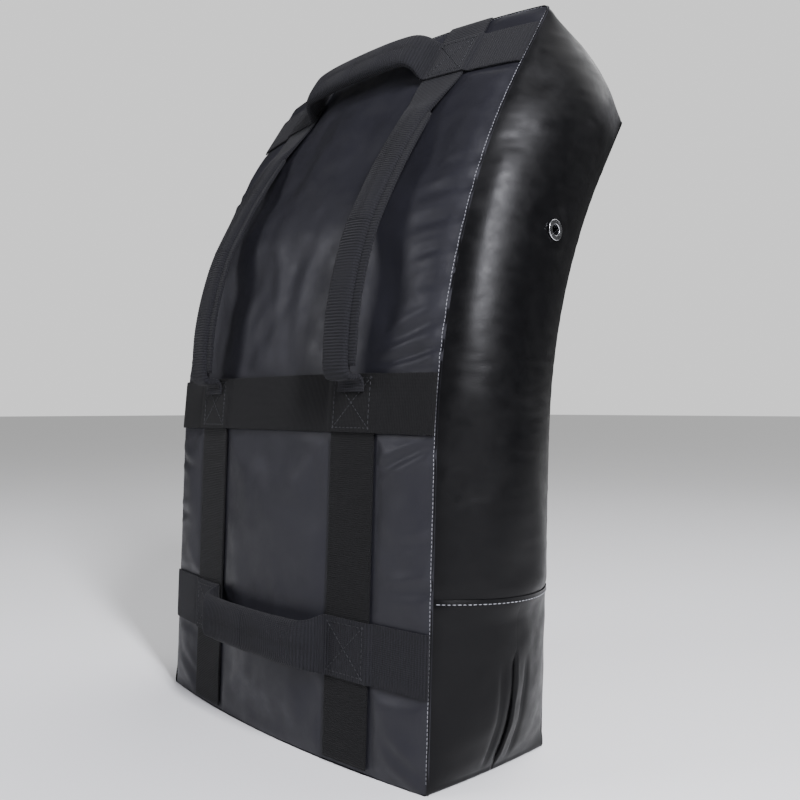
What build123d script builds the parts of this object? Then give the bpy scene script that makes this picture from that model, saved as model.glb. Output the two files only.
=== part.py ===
"""Curved kick shield: a foam block in a sewn cover, with webbing straps and padded grips.

Frame: +Z up from the floor it stands on, -Y towards the holder, +Y towards the striker, +X to the
holder-side viewer's right. The origin is on the floor, at the middle of the holder-side bottom seam.
"""
from build123d import *
import os
from math import cos, radians, sin, sqrt

os.makedirs("parts", exist_ok=True)

# ---------------------------------------------------------------- driving dimensions, in millimetres
panel_width = 388.0  # holder-side panel across, seam to seam
profile_length = 700.0  # holder-side panel, bottom seam to top seam, along its curve
pad_depth = 145.0  # holder-side seam to strike-side seam
lean = 2.0  # degrees that the lower part leans back
bend = 31.0  # degrees that the bend adds
lower_run = 266.0  # straight length below the bend
upper_run = 84.0  # straight length above the bend
holder_crown = 16.0  # how far the filled holder-side panel swells
strike_crown = 8.0  # how far the filled strike-side panel swells
gusset_bulge = 33.0  # how far the side gussets swell at mid-depth
top_bulge = 8.0  # how far the top gusset swells
toe_rise = 120.0  # height over which the side bulge dies away at the bottom
top_corner_radius = 45.0  # rounding of the gusset at the top corners
skin = 1.6  # cover with its backing cloth
foam_gap = 0.3  # slack between the cover and the foam
glue_gap = 0.2  # glue line between foam layers
holder_foam_depth = 32.0  # from the holder-side seam plane
strike_foam_depth = 33.0  # from the strike-side seam plane

webbing_width = 50.0
webbing = 2.0  # webbing thickness
lay = 0.1  # gap between things that lie on each other
strap_place = 108.0  # centre of each upright strap from the middle
bottom_strap_at = 98.3  # strap centres, measured along the profile
middle_strap_at = 303.0
top_strap_at = 648.0
side_seam_at = 150.7  # where the gusset meets the boot

placket = 38.0  # width of the zip opening between the boot strips
channel_end = 175.0  # half length of the zip's recess under the bottom
channel_height = 14.0  # depth of the zip's recess
tape_level = 9.0  # height of the zip tape above the floor
tape = 1.0  # zip tape thickness
tape_parting = 2.0  # gap between the two tapes
coil_height = 2.4
coil_width = 2.3
coil_parting = 1.0
slider_rest = 144.0  # slider's place from the middle with the zip closed
slider_length = 15.0
slider_width = 11.4
plate = 1.6  # thickness of each of the slider's plates
pull_length = 23.0
pull_width = 7.2
pin_radius = 0.7
pin_clearance = 0.3

eyelet_at = 481.0  # along the profile
eyelet_hole = 4.75  # radius
eyelet_flange = 9.0  # radius
eyelet_barrel = 5.6  # outer radius
eyelet_length = 5.2
eyelet_lip = 1.1
washer_thickness = 0.8

grip_width = 40.0  # padded part of the top and bottom grips
grip_thickness = 12.0
grip_reach = 84.0  # half the distance between a cross grip's sewn ends
grip_rise = 24.0  # height of a cross grip's middle line above the pad
arm_grip_width = 28.0  # webbing folded in half round a core
arm_grip_thickness = 11.0
end_strip = 5.0  # layered webbing at a grip's ends
end_strip_width = 24.0
arm_tab_width = 16.0
pivot_height = 11.0  # where a grip flexes, above the pad
tab_gap = 4.6  # between a sewn tab and the grip it carries
core_wall = 2.2  # webbing sleeve round the grip's foam
grip_bend = 120.0  # radius of a grip's gentle bends
arm_rise = 28.0  # middle line of an arm grip above the pad, at its highest
arm_low_rise = 24.0  # the same at its squared-off foot
arm_neck = 45.0  # unpadded webbing between an arm grip and the top strap
neck_width = 30.0

# ---------------------------------------------------------------- the pad's curve and its crown
bend_length = profile_length - lower_run - upper_run
bend_radius = bend_length / radians(bend)
half_width = panel_width / 2
mid_depth = pad_depth / 2
crown_radius = (half_width**2 + holder_crown**2) / (2 * holder_crown)
below = -20.0  # stations where a form starts before it is trimmed
above = profile_length + 2 * top_bulge
far = 3 * profile_length  # larger than the object, for trimming solids


def station(s):
    """Section plane at s along the holder-side profile: local x across, local y into the pad."""
    foot = radians(lean)
    inside_bend = min(max(s - lower_run, 0), bend_length)
    angle = foot + inside_bend / bend_radius
    straight_low = min(s, lower_run)
    straight_high = max(s - lower_run - bend_length, 0)
    y = straight_low * sin(foot) + bend_radius * (cos(foot) - cos(angle)) + straight_high * sin(angle)
    z = straight_low * cos(foot) + bend_radius * (sin(angle) - sin(foot)) + straight_high * cos(angle)
    return Plane(origin=(0, y, z), x_dir=(1, 0, 0), z_dir=(0, sin(angle), cos(angle)))


def rail(start, end):
    """The profile between two stations, as a path for sweeps."""
    bend_start = lower_run
    bend_end = lower_run + bend_length
    stops = [start] + [s for s in (bend_start, bend_end) if start < s < end] + [end]
    with BuildLine() as path:
        for first, last in zip(stops, stops[1:]):
            if first >= bend_start and last <= bend_end:
                ThreePointArc(station(first).origin, station((first + last) / 2).origin, station(last).origin)
            else:
                Line(station(first).origin, station(last).origin)
    return path.wires()[0]


def crown_at(u):
    """Local y of the holder-side surface at u across, measured from the seam plane."""
    return crown_radius - holder_crown - sqrt(crown_radius**2 - u**2)


def spot(s, u, height):
    """Point at a height above the holder-side surface."""
    return station(s).from_local_coords((u, crown_at(u) - height, 0))


# ---------------------------------------------------------------- outlines shared by cover and foam
def trimming(inset):
    """Solid that cuts a swept form to its flat bottom, swollen top and rounded corners."""
    top = station(profile_length)
    side = half_width - inset
    swollen = side + gusset_bulge
    with BuildPart() as keep:
        with BuildSketch(Plane.XZ.offset(-far)):
            with BuildLine():
                toe = ThreePointArc(
                    (side, inset), (side + 0.65 * gusset_bulge, 0.35 * toe_rise), (swollen, toe_rise)
                )
                Polyline(toe @ 1, (swollen, far), (0, far), (0, inset), toe @ 0)
            make_face()
            mirror(about=Plane.YZ)
        extrude(amount=2 * far)
        front_plane = Plane(origin=top.origin, x_dir=(1, 0, 0), z_dir=-top.y_dir)
        with BuildSketch(front_plane.offset(-far)) as front:
            with Locations((0, top_bulge - inset - far / 2)):
                Rectangle(2 * swollen, far)
            fillet(front.vertices().group_by(Axis.Y)[-1], top_corner_radius - inset)
        extrude(amount=2 * far, mode=Mode.INTERSECT)
        side_plane = Plane(origin=top.origin, x_dir=top.y_dir, z_dir=(1, 0, 0))
        with BuildSketch(side_plane.offset(-far)):
            with BuildLine():
                dome = ThreePointArc(
                    (inset, -inset), (mid_depth, top_bulge - inset), (pad_depth - inset, -inset)
                )
                Polyline(dome @ 1, (far, -inset), (far, -far), (-far, -far), (-far, -inset), dome @ 0)
            make_face()
        extrude(amount=2 * far, mode=Mode.INTERSECT)
    return keep.part


def pad_form(inset):
    """The filled pad's outer form, moved inwards by inset."""
    side = half_width - inset
    back = pad_depth - inset
    with BuildPart() as form:
        with BuildSketch(station(below)):
            with BuildLine():
                ThreePointArc((-side, inset), (0, inset - holder_crown), (side, inset))
                ThreePointArc((side, inset), (side + gusset_bulge, mid_depth), (side, back))
                ThreePointArc((side, back), (0, back + strike_crown), (-side, back))
                ThreePointArc((-side, back), (-side - gusset_bulge, mid_depth), (-side, inset))
            make_face()
        sweep(path=rail(below, above))
        add(trimming(inset), mode=Mode.INTERSECT)
    return form.part


def layer(near, deep):
    """Everything between two depths below the holder-side seam plane, following the curve."""
    with BuildPart() as slab:
        with BuildSketch(station(below)):
            with Locations((0, (near + deep) / 2)):
                Rectangle(2 * panel_width, deep - near)
        sweep(path=rail(below, above))
    return slab.part


def save(piece, name):
    piece.label = name
    export_step(piece, f"parts/{name}.step")


outer = pad_form(0)
inner = pad_form(skin)
foot_plane = station(0)
channel_low = mid_depth - placket / 2
channel_high = mid_depth + placket / 2


# ---------------------------------------------------------------- cover: the two large panels
def cover_panel(depth, crown):
    """One large panel: a crowned sheet that ends just above the floor and at the top seam."""
    inward = skin if crown < 0 else -skin
    inner_half = half_width - skin
    with BuildPart() as sheet:
        with BuildSketch(station(below)):
            with BuildLine():
                ThreePointArc((-half_width, depth), (0, depth + crown), (half_width, depth))
                Line((half_width, depth), (inner_half, depth + inward))
                ThreePointArc(
                    (inner_half, depth + inward), (0, depth + crown + inward), (-inner_half, depth + inward)
                )
                Line((-inner_half, depth + inward), (-half_width, depth))
            make_face()
        sweep(path=rail(below, profile_length))
        split(bisect_by=Plane.XY.offset(skin + lay))
    return sheet.part


with BuildPart() as holder_panel:
    add(cover_panel(0, -holder_crown))
save(holder_panel.part, "holder_panel")

with BuildPart() as strike_panel:
    add(cover_panel(pad_depth, strike_crown))
save(strike_panel.part, "strike_panel")

# ---------------------------------------------------------------- cover: gussets round the edge
side_seam = station(side_seam_at)
eyelet_centre = station(eyelet_at).from_local_coords((half_width + gusset_bulge, mid_depth, 0))


def eyelet_plane(hand, outward):
    """Plane on the gusset at the eyelet, facing outwards, on the side that hand gives."""
    return Plane(
        origin=(hand * (eyelet_centre.X + outward), eyelet_centre.Y, eyelet_centre.Z),
        x_dir=(0, 1, 0),
        z_dir=(hand, 0, 0),
    )


with BuildPart() as gusset_ring:
    add(outer)
    add(inner, mode=Mode.SUBTRACT)
    add(cover_panel(0, -holder_crown), mode=Mode.SUBTRACT)
    add(cover_panel(pad_depth, strike_crown), mode=Mode.SUBTRACT)

with BuildPart() as top_gusset:
    add(gusset_ring.part)
    split(bisect_by=side_seam)
    split(bisect_by=Plane.YZ.offset(half_width - skin), keep=Keep.BOTTOM)
    split(bisect_by=Plane.YZ.offset(skin - half_width))
save(top_gusset.part, "top_gusset")


with BuildPart() as left_gusset:
    add(gusset_ring.part)
    split(bisect_by=side_seam)
    split(bisect_by=Plane.YZ.offset(skin - half_width), keep=Keep.BOTTOM)
    with BuildSketch(eyelet_plane(-1, 2 * skin)):
        Circle(eyelet_barrel + lay)
    extrude(amount=-6 * skin, mode=Mode.SUBTRACT)
save(left_gusset.part, "left_gusset")

with BuildPart() as right_gusset:
    add(mirror(left_gusset.part, about=Plane.YZ))
save(right_gusset.part, "right_gusset")

# ---------------------------------------------------------------- cover: the boot and its zip flaps
with BuildPart() as boot:
    add(gusset_ring.part)
    split(bisect_by=side_seam, keep=Keep.BOTTOM)


def depth_plane(depth):
    """Plane at a depth in the straight lower part, facing the strike side."""
    return Plane(origin=foot_plane.from_local_coords((0, depth, 0)), x_dir=(1, 0, 0), z_dir=foot_plane.y_dir)


def channel_lip(depth, side):
    """Turned-in edge of a boot strip, just inside the zip's recess; side is 1 towards the striker."""
    edge = depth / cos(radians(lean))
    with BuildPart() as lip:
        with BuildSketch(Plane.XY):
            with Locations((0, edge + side * (skin / 2 - lay))):
                Rectangle(2 * channel_end, skin)
        extrude(amount=tape_level - lay)
    return lip.part


with BuildPart() as boot_back_strip:
    add(boot.part)
    split(bisect_by=depth_plane(channel_low), keep=Keep.BOTTOM)
    add(channel_lip(channel_low, 1))
save(boot_back_strip.part, "boot_back_strip")

with BuildPart() as boot_front_strip:
    add(boot.part)
    split(bisect_by=depth_plane(channel_high))
    add(channel_lip(channel_high, -1))
save(boot_front_strip.part, "boot_front_strip")


with BuildPart() as left_zip_flap:
    add(boot.part)
    split(bisect_by=depth_plane(channel_low + lay))
    split(bisect_by=depth_plane(channel_high - lay), keep=Keep.BOTTOM)
    split(bisect_by=Plane.YZ.offset(-channel_end), keep=Keep.BOTTOM)
save(left_zip_flap.part, "left_zip_flap")

with BuildPart() as right_zip_flap:
    add(mirror(left_zip_flap.part, about=Plane.YZ))
save(right_zip_flap.part, "right_zip_flap")

# ---------------------------------------------------------------- zip
zip_line = mid_depth / cos(radians(lean))


def zip_bar(inner_edge, outer_edge, level, height):
    """Straight bar along the zip; the edges are distances from its middle line, signed by side."""
    with BuildPart() as bar:
        with BuildSketch(Plane.XY.offset(level)):
            with Locations((0, zip_line + (inner_edge + outer_edge) / 2)):
                Rectangle(2 * channel_end - 2 * lay, abs(outer_edge - inner_edge))
        extrude(amount=height)
    return bar.part


tape_edge = placket / 2 - skin - 2 * lay
for side, name in ((-1, "back"), (1, "front")):
    save(zip_bar(side * tape_parting / 2, side * tape_edge, tape_level, tape), f"zip_tape_{name}")
    coil_near = side * coil_parting / 2
    coil_far = coil_near + side * coil_width
    save(zip_bar(coil_near, coil_far, tape_level - lay - coil_height, coil_height), f"zip_coil_{name}")

coil_level = tape_level - lay - coil_height
stop_length = 3.0
stop_width = 2 * coil_width + coil_parting + 1.0
stop_depth = 1.2
with BuildPart() as zip_stops:
    with BuildSketch(Plane.XY.offset(coil_level - lay)):
        with GridLocations(2 * (channel_end - stop_length), 1, 2, 1):
            with Locations((0, zip_line)):
                RectangleRounded(stop_length, stop_width, 0.8)
    extrude(amount=-stop_depth)
save(zip_stops.part, "zip_stops")

outer_plate_top = coil_level - 0.6
outer_plate_low = outer_plate_top - plate
inner_plate_low = tape_level + tape + 0.6
post_length = 4.0
post_width = 0.5
rim = 1.2
rim_top = tape_level - 0.6
bail_length = 9.0
bail_width = 2.0
bail = 0.8
pin_level = outer_plate_low - pin_radius - pin_clearance
bail_low = pin_level - pin_radius - pin_clearance - bail
with BuildPart() as zip_slider:
    for low in (outer_plate_low, inner_plate_low):
        with BuildSketch(Plane.XY.offset(low)):
            with Locations((slider_rest, zip_line)):
                RectangleRounded(slider_length, slider_width, 3.0)
        extrude(amount=plate)
    with BuildSketch(Plane.XY.offset(outer_plate_top)):
        with Locations(
            (slider_rest, zip_line + slider_width / 2 - rim / 2),
            (slider_rest, zip_line - slider_width / 2 + rim / 2),
        ):
            Rectangle(slider_length - 6.0, rim)
    extrude(amount=rim_top - outer_plate_top)
    with BuildSketch(Plane.XY.offset(outer_plate_top)):
        with Locations((slider_rest + slider_length / 2 - post_length, zip_line)):
            Rectangle(post_length, post_width)
    extrude(amount=inner_plate_low - outer_plate_top)
    with BuildSketch(Plane.XZ.offset(-zip_line)):
        with Locations((slider_rest, (bail_low + outer_plate_low) / 2)):
            Rectangle(bail_length, outer_plate_low - bail_low)
        with Locations((slider_rest, pin_level)):
            Rectangle(bail_length - 2 * bail - 1.0, 2 * (pin_radius + pin_clearance), mode=Mode.SUBTRACT)
    extrude(amount=bail_width / 2, both=True)
save(zip_slider.part, "zip_slider")

ear = 1.4
ear_gap = bail_width / 2 + 0.4
pull_start = bail_length / 2 + 1.2
with BuildPart() as zip_pull:
    with BuildSketch(Plane.XZ.offset(-zip_line)):
        with Locations((slider_rest, pin_level)):
            Circle(pin_radius)
    extrude(amount=ear_gap + ear, both=True)
    with BuildSketch(Plane.XY.offset(pin_level - pin_radius)):
        with Locations((slider_rest, zip_line)):
            with Locations((0, ear_gap + ear / 2), (0, -ear_gap - ear / 2)):
                Rectangle(pull_start + 1.0, ear, align=(Align.MIN, Align.CENTER))
            with Locations((pull_start, 0)):
                Rectangle(pull_length - pull_start, pull_width, align=(Align.MIN, Align.CENTER))
    extrude(amount=2 * pin_radius)
    fillet(zip_pull.edges().filter_by(Axis.Z).group_by(Axis.X)[-1], 2.4)
save(zip_pull.part, "zip_pull")


# ---------------------------------------------------------------- foam: three glued layers
foam_form = pad_form(skin + foam_gap)
with BuildPart() as holder_foam:
    add(foam_form)
    add(layer(-pad_depth, holder_foam_depth - glue_gap), mode=Mode.INTERSECT)
save(holder_foam.part, "holder_foam")

with BuildPart() as strike_foam:
    add(foam_form)
    add(layer(pad_depth - strike_foam_depth + glue_gap, 2 * pad_depth), mode=Mode.INTERSECT)
save(strike_foam.part, "strike_foam")

recess_slack = 0.6
with BuildPart() as core_foam:
    add(foam_form)
    add(layer(holder_foam_depth, pad_depth - strike_foam_depth), mode=Mode.INTERSECT)
    with BuildSketch(Plane.XY):
        with Locations((0, zip_line)):
            Rectangle(2 * channel_end + 2 * recess_slack, placket + 2 * recess_slack)
    extrude(amount=channel_height, mode=Mode.SUBTRACT)
    for hand in (1, -1):
        with BuildSketch(eyelet_plane(hand, 2 * skin)):
            Circle(eyelet_flange + 1.0)
        extrude(amount=-2 * skin - eyelet_length - 2.0, mode=Mode.SUBTRACT)
save(core_foam.part, "core_foam")


# ---------------------------------------------------------------- eyelets and their washers
def eyelet(hand):
    """Rolled eyelet: a rounded flange outside and a barrel through the cover."""
    place = eyelet_plane(hand, lay)
    with BuildPart() as ring:
        with BuildSketch(place):
            Circle(eyelet_flange)
            Circle(eyelet_hole, mode=Mode.SUBTRACT)
        extrude(amount=eyelet_lip)
        fillet(ring.edges().filter_by(GeomType.CIRCLE).group_by(Axis.X)[-1 if hand > 0 else 0], 0.5)
        with BuildSketch(place):
            Circle(eyelet_barrel)
            Circle(eyelet_hole, mode=Mode.SUBTRACT)
        extrude(amount=-eyelet_length)
    return ring.part


def washer(hand):
    """Flat washer that the barrel is rolled over behind the cover."""
    with BuildPart() as ring:
        with BuildSketch(eyelet_plane(hand, -skin - 0.6)):
            Circle(eyelet_flange)
            Circle(eyelet_barrel + lay, mode=Mode.SUBTRACT)
        extrude(amount=-washer_thickness)
    return ring.part


for hand, name in ((1, "right"), (-1, "left")):
    save(eyelet(hand), f"{name}_eyelet")
    save(washer(hand), f"{name}_eyelet_washer")


# ---------------------------------------------------------------- webbing straps
def crown_band(low, high, centre, width):
    """Sketch of a band that follows the crown between two heights above it."""
    circle_middle = crown_radius - holder_crown
    with Locations((0, circle_middle)):
        Circle(crown_radius + high)
        Circle(crown_radius + low, mode=Mode.SUBTRACT)
    with Locations((centre, 0)):
        Rectangle(width, 4 * holder_crown, mode=Mode.INTERSECT)


def upright_strap(hand, start, end):
    """Strap up the panel, on one side."""
    with BuildPart() as strap:
        with BuildSketch(station(start)):
            crown_band(lay, lay + webbing, hand * strap_place, webbing_width)
        sweep(path=rail(start, end))
    return strap.part


def cross_strap(centre, low, high):
    """Strap across the panel between two places, stepping over the upright straps it crosses."""
    start = centre - webbing_width / 2
    end = centre + webbing_width / 2
    over = lay + webbing + lay
    wall = webbing_width + 2 * lay
    with BuildPart() as strap:
        with BuildSketch(station(start)):
            crown_band(lay, lay + webbing, (low + high) / 2, high - low)
            for crossing in (strap_place, -strap_place):
                if low < crossing < high:
                    with BuildSketch(mode=Mode.PRIVATE) as step:
                        crown_band(lay, over + webbing, crossing, wall + 2 * webbing)
                    with BuildSketch(mode=Mode.PRIVATE) as hollow:
                        crown_band(0, over, crossing, wall)
                    add(step.sketch)
                    add(hollow.sketch, mode=Mode.SUBTRACT)
        sweep(path=rail(start, end))
    return strap.part


strap_foot = 4.0
half_webbing = webbing_width / 2
strap_end = half_width - 1.0
tuck = 2.0
for hand, name in ((1, "right"), (-1, "left")):
    save(upright_strap(hand, strap_foot, middle_strap_at + half_webbing - tuck), f"{name}_lower_strap")

step_edge = strap_place - half_webbing - lay - webbing
save(cross_strap(middle_strap_at, -strap_end, strap_end), "middle_strap")
for centre, name in ((bottom_strap_at, "bottom"), (top_strap_at, "top")):
    save(cross_strap(centre, step_edge, strap_end), f"{name}_strap_right")
    save(cross_strap(centre, -strap_end, -step_edge), f"{name}_strap_left")


# ---------------------------------------------------------------- padded grips
strap_top = lay + webbing + lay + webbing  # height of a strap where it steps over another


def swept_bar(route, width, thickness, across, corner):
    """Solid of a rounded section swept along a route."""
    with BuildPart() as bar:
        with BuildSketch(Plane(origin=route @ 0, x_dir=across, z_dir=route % 0)):
            RectangleRounded(width, thickness, corner)
        sweep(path=route)
    return bar.part


def route_through(plane, points, radius):
    """Straight runs joined by arcs, in a plane."""
    with BuildLine(plane) as line:
        FilletPolyline(*points, radius=radius)
    return line.wires()[0]


def shortened(route, length):
    """The same route with a length taken off each end."""
    part = length / route.length
    return route.trim(part, 1 - part)


def grip_pieces(plane, strip_points, bar_points, width, thickness):
    """Sleeve (with its end strips) and foam core of a grip that lies in a plane."""
    across = plane.z_dir
    strip_route = route_through(plane, strip_points, end_strip)
    bar_route = route_through(plane, bar_points, grip_bend)
    hollow_width = width - 2 * core_wall
    hollow_thickness = thickness - 2 * core_wall
    slack = 2 * foam_gap
    hollow_route = shortened(bar_route, core_wall)
    core_route = shortened(bar_route, core_wall + foam_gap)
    core_corner = 0.35 * hollow_thickness
    with BuildPart() as sleeve:
        add(swept_bar(strip_route, end_strip_width, end_strip, across, 1.0))
        add(swept_bar(bar_route, width, thickness, across, 0.45 * thickness))
        hollow = swept_bar(hollow_route, hollow_width, hollow_thickness, across, 0.45 * hollow_thickness)
        add(hollow, mode=Mode.SUBTRACT)
    core = swept_bar(core_route, hollow_width - slack, hollow_thickness - slack, across, core_corner)
    return sleeve.part, core


def cross_grip_points(u, height):
    """A point of a cross grip, in the section plane."""
    return (u, crown_at(u) - height)


shoulder = grip_reach - 3.0
turn = grip_reach / 2
shoulder_rise = grip_rise - 3.0
bar_points = [
    cross_grip_points(3 - shoulder, shoulder_rise),
    cross_grip_points(-turn, grip_rise),
    cross_grip_points(turn, grip_rise),
    cross_grip_points(shoulder - 3, shoulder_rise),
]
strip_points = [
    cross_grip_points(-grip_reach, pivot_height),
    cross_grip_points(-shoulder, shoulder_rise),
    cross_grip_points(-turn, grip_rise),
    cross_grip_points(turn, grip_rise),
    cross_grip_points(shoulder, shoulder_rise),
    cross_grip_points(grip_reach, pivot_height),
]
for centre, name in ((bottom_strap_at, "bottom"), (top_strap_at, "top")):
    plane = station(centre)
    sleeve, core = grip_pieces(plane, strip_points, bar_points, grip_width, grip_thickness)
    save(sleeve, f"{name}_grip_sleeve")
    save(core, f"{name}_grip_foam")
    for hand, side in ((1, "right"), (-1, "left")):
        u = hand * grip_reach
        foot = crown_at(u) - strap_top - 2 * lay
        with BuildPart() as tab:
            with BuildSketch(plane.offset(-end_strip_width / 2)):
                with Locations((u, foot)):
                    Rectangle(end_strip, pivot_height - tab_gap - strap_top, align=(Align.CENTER, Align.MAX))
            extrude(amount=end_strip_width)
        save(tab.part, f"{name}_grip_{side}_tab")


def arm_grip_point(s, height):
    """A point of an arm grip in the upright plane through its strap: (y, z)."""
    place = spot(s, strap_place, height)
    return (place.Y, place.Z)


arm_foot = middle_strap_at + half_webbing - end_strip
arm_head = top_strap_at - half_webbing - arm_neck
arm_bar_points = [
    arm_grip_point(arm_foot - 4, arm_low_rise),
    arm_grip_point(arm_foot + 0.2 * (arm_head - arm_foot), arm_rise),
    arm_grip_point(arm_foot + 0.42 * (arm_head - arm_foot), arm_rise - 1),
    arm_grip_point(arm_foot + 0.62 * (arm_head - arm_foot), 0.5 * (arm_rise + pivot_height)),
    arm_grip_point(arm_foot + 0.81 * (arm_head - arm_foot), pivot_height + 3),
    arm_grip_point(arm_head, pivot_height),
]
arm_strip_points = [arm_grip_point(arm_foot, pivot_height), arm_grip_point(arm_foot - 1, arm_low_rise + 0.4)]
arm_strip_points += arm_bar_points[1:]
neck_join = top_strap_at - half_webbing - 10.0
neck_points = [
    arm_grip_point(arm_head + 4.0, pivot_height - 1.0),
    arm_grip_point(0.5 * (arm_head + neck_join), 0.5 * pivot_height),
    arm_grip_point(neck_join + 4.0, webbing + 0.6),
]
for hand, name in ((1, "right"), (-1, "left")):
    plane = Plane(origin=(hand * strap_place, 0, 0), x_dir=(0, 1, 0), z_dir=(1, 0, 0))
    sleeve, core = grip_pieces(plane, arm_strip_points, arm_bar_points, arm_grip_width, arm_grip_thickness)
    save(sleeve, f"{name}_arm_grip_sleeve")
    save(core, f"{name}_arm_grip_foam")
    with BuildPart() as upper_strap:
        add(upright_strap(hand, neck_join, profile_length))
        add(swept_bar(route_through(plane, neck_points, grip_bend), neck_width, webbing, plane.z_dir, 0.5))
    save(upper_strap.part, f"{name}_upper_strap")
    with BuildPart() as foot_tab:
        with BuildSketch(station(arm_foot - end_strip / 2)):
            crown_band(strap_top + lay, pivot_height - tab_gap, hand * strap_place, arm_tab_width)
        extrude(amount=end_strip)
    save(foot_tab.part, f"{name}_arm_grip_tab")
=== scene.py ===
"""Visual model of a curved kick shield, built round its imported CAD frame.

All lengths are in metres, in the frame's own axes: +Z up, -Y towards the holder, +X to the right
of someone who faces the grips. A place on the pad is given as (s, u, d): s along the curved
holder-side profile, u across, and d into the pad from the plane of the holder-side seam.
"""
from math import atan, ceil, cos, hypot, pi, radians, sin, sqrt

import bmesh
import bpy
import numpy as np
from bpy.props import FloatProperty, FloatVectorProperty, PointerProperty
from mathutils import Matrix, Vector, noise


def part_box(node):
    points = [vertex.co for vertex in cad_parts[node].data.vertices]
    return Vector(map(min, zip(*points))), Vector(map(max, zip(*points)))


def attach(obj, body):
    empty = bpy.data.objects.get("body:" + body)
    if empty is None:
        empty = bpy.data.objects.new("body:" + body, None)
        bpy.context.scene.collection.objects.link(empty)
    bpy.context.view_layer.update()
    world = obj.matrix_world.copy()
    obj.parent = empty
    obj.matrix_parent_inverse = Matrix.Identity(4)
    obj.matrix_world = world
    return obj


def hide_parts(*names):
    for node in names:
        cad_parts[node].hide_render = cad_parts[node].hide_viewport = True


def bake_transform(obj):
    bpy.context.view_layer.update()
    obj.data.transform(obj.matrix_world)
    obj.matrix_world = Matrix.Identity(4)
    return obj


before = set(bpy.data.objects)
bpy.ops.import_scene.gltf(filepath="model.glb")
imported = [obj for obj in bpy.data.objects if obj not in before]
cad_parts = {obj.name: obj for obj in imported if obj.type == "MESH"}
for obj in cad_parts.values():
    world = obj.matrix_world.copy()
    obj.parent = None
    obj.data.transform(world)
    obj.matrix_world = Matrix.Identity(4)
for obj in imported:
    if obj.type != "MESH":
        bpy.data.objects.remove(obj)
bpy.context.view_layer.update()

bl_info = {
    "name": "Curved kick shield",
    "version": (1, 0, 0),
    "blender": (4, 5, 0),
    "location": "3D View > Sidebar > Kick shield",
    "description": "Builds the cover, straps, grips and trim of a curved kick shield",
    "category": "Add Mesh",
}

# ------------------------------------------------------------------ the pad's form
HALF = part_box("holder_panel")[1][0]  # half the panel's width
PROFILE = 0.700  # length of the holder-side panel along its curve
DEPTH = 0.145
LEAN = radians(2.0)
BEND = radians(31.0)
LOWER_RUN = 0.266
UPPER_RUN = 0.084
BEND_LENGTH = PROFILE - LOWER_RUN - UPPER_RUN
BEND_RADIUS = BEND_LENGTH / BEND
HOLDER_CROWN = 0.016
STRIKE_CROWN = 0.008
SIDE_BULGE = 0.033
TOP_BULGE = 0.008
BOOT_BULGE = 0.026  # side bulge of the boot below the side seam
TOE_RISE = 0.086
CORNER = 0.014
PANEL_CORNER = 0.008  # corner radius of the two flat panels
HEAD_RISE = 0.090  # length below the top over which the side bulge dies away
HEAD_SHARE = 0.06  # share of the side bulge left at the top corner
SIDE_SEAM = 0.1507
STRAP_U = 0.108
BOTTOM_S, MIDDLE_S, TOP_S = 0.0983, 0.303, 0.648
WEB = 0.050
WEB_THICK = 0.0020
GRIP_REACH = 0.084
PLACKET_LOW = (0.0725 - 0.019) / DEPTH
PLACKET_HIGH = (0.0725 + 0.019) / DEPTH
ARM_FOOT = MIDDLE_S + WEB / 2 - 0.005
ARM_HEAD = TOP_S - WEB / 2 - 0.045
HOLDER_RADIUS = (HALF**2 + HOLDER_CROWN**2) / (2 * HOLDER_CROWN)
STRIKE_RADIUS = (HALF**2 + STRIKE_CROWN**2) / (2 * STRIKE_CROWN)


def profile(s):
    """(y, z, angle from upright) of the holder-side seam line at s; s may be an array."""
    s = np.asarray(s, float)
    angle = LEAN + np.clip(s - LOWER_RUN, 0, BEND_LENGTH) / BEND_RADIUS
    low = np.minimum(s, LOWER_RUN)
    high = np.maximum(s - LOWER_RUN - BEND_LENGTH, 0)
    y = low * sin(LEAN) + BEND_RADIUS * (cos(LEAN) - np.cos(angle)) + high * np.sin(angle)
    z = low * cos(LEAN) + BEND_RADIUS * (np.sin(angle) - sin(LEAN)) + high * np.cos(angle)
    return y, z, angle


def to_space(s, u, d):
    """Points in the row frame from places (s, u, d)."""
    s, u, d = np.broadcast_arrays(np.asarray(s, float), u, d)
    y, z, angle = profile(s)
    return np.stack([u, y + d * np.cos(angle), z - d * np.sin(angle)], axis=-1)


BAND_LOW, BAND_HIGH = 0.205, 0.262  # the strike side's dyed band


def crown(u):
    return HOLDER_RADIUS - HOLDER_CROWN - np.sqrt(HOLDER_RADIUS**2 - np.square(u))


def strike_crown(u):
    return np.sqrt(STRIKE_RADIUS**2 - np.square(u)) - STRIKE_RADIUS + STRIKE_CROWN


def on_pad(s, u, h):
    """Point at height h above the holder-side panel."""
    return Vector([float(c) for c in to_space(s, u, crown(u) - h)])


def smooth(x, low, high):
    """0 below low, 1 above high, with an easy change between."""
    t = np.clip((np.asarray(x, float) - low) / (high - low), 0, 1)
    return t * t * (3 - 2 * t)


def ripple(points, scale, seed):
    """Smooth noise, about -1 to 1, at each point of an array of places in metres."""
    flat = np.asarray(points, float).reshape(-1, 3)
    shift = Vector((seed * 3.7, seed * 1.9, seed * 5.3))
    values = [noise.noise(Vector(p) / scale + shift) for p in flat]
    return 2 * np.array(values).reshape(np.asarray(points).shape[:-1])


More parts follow.
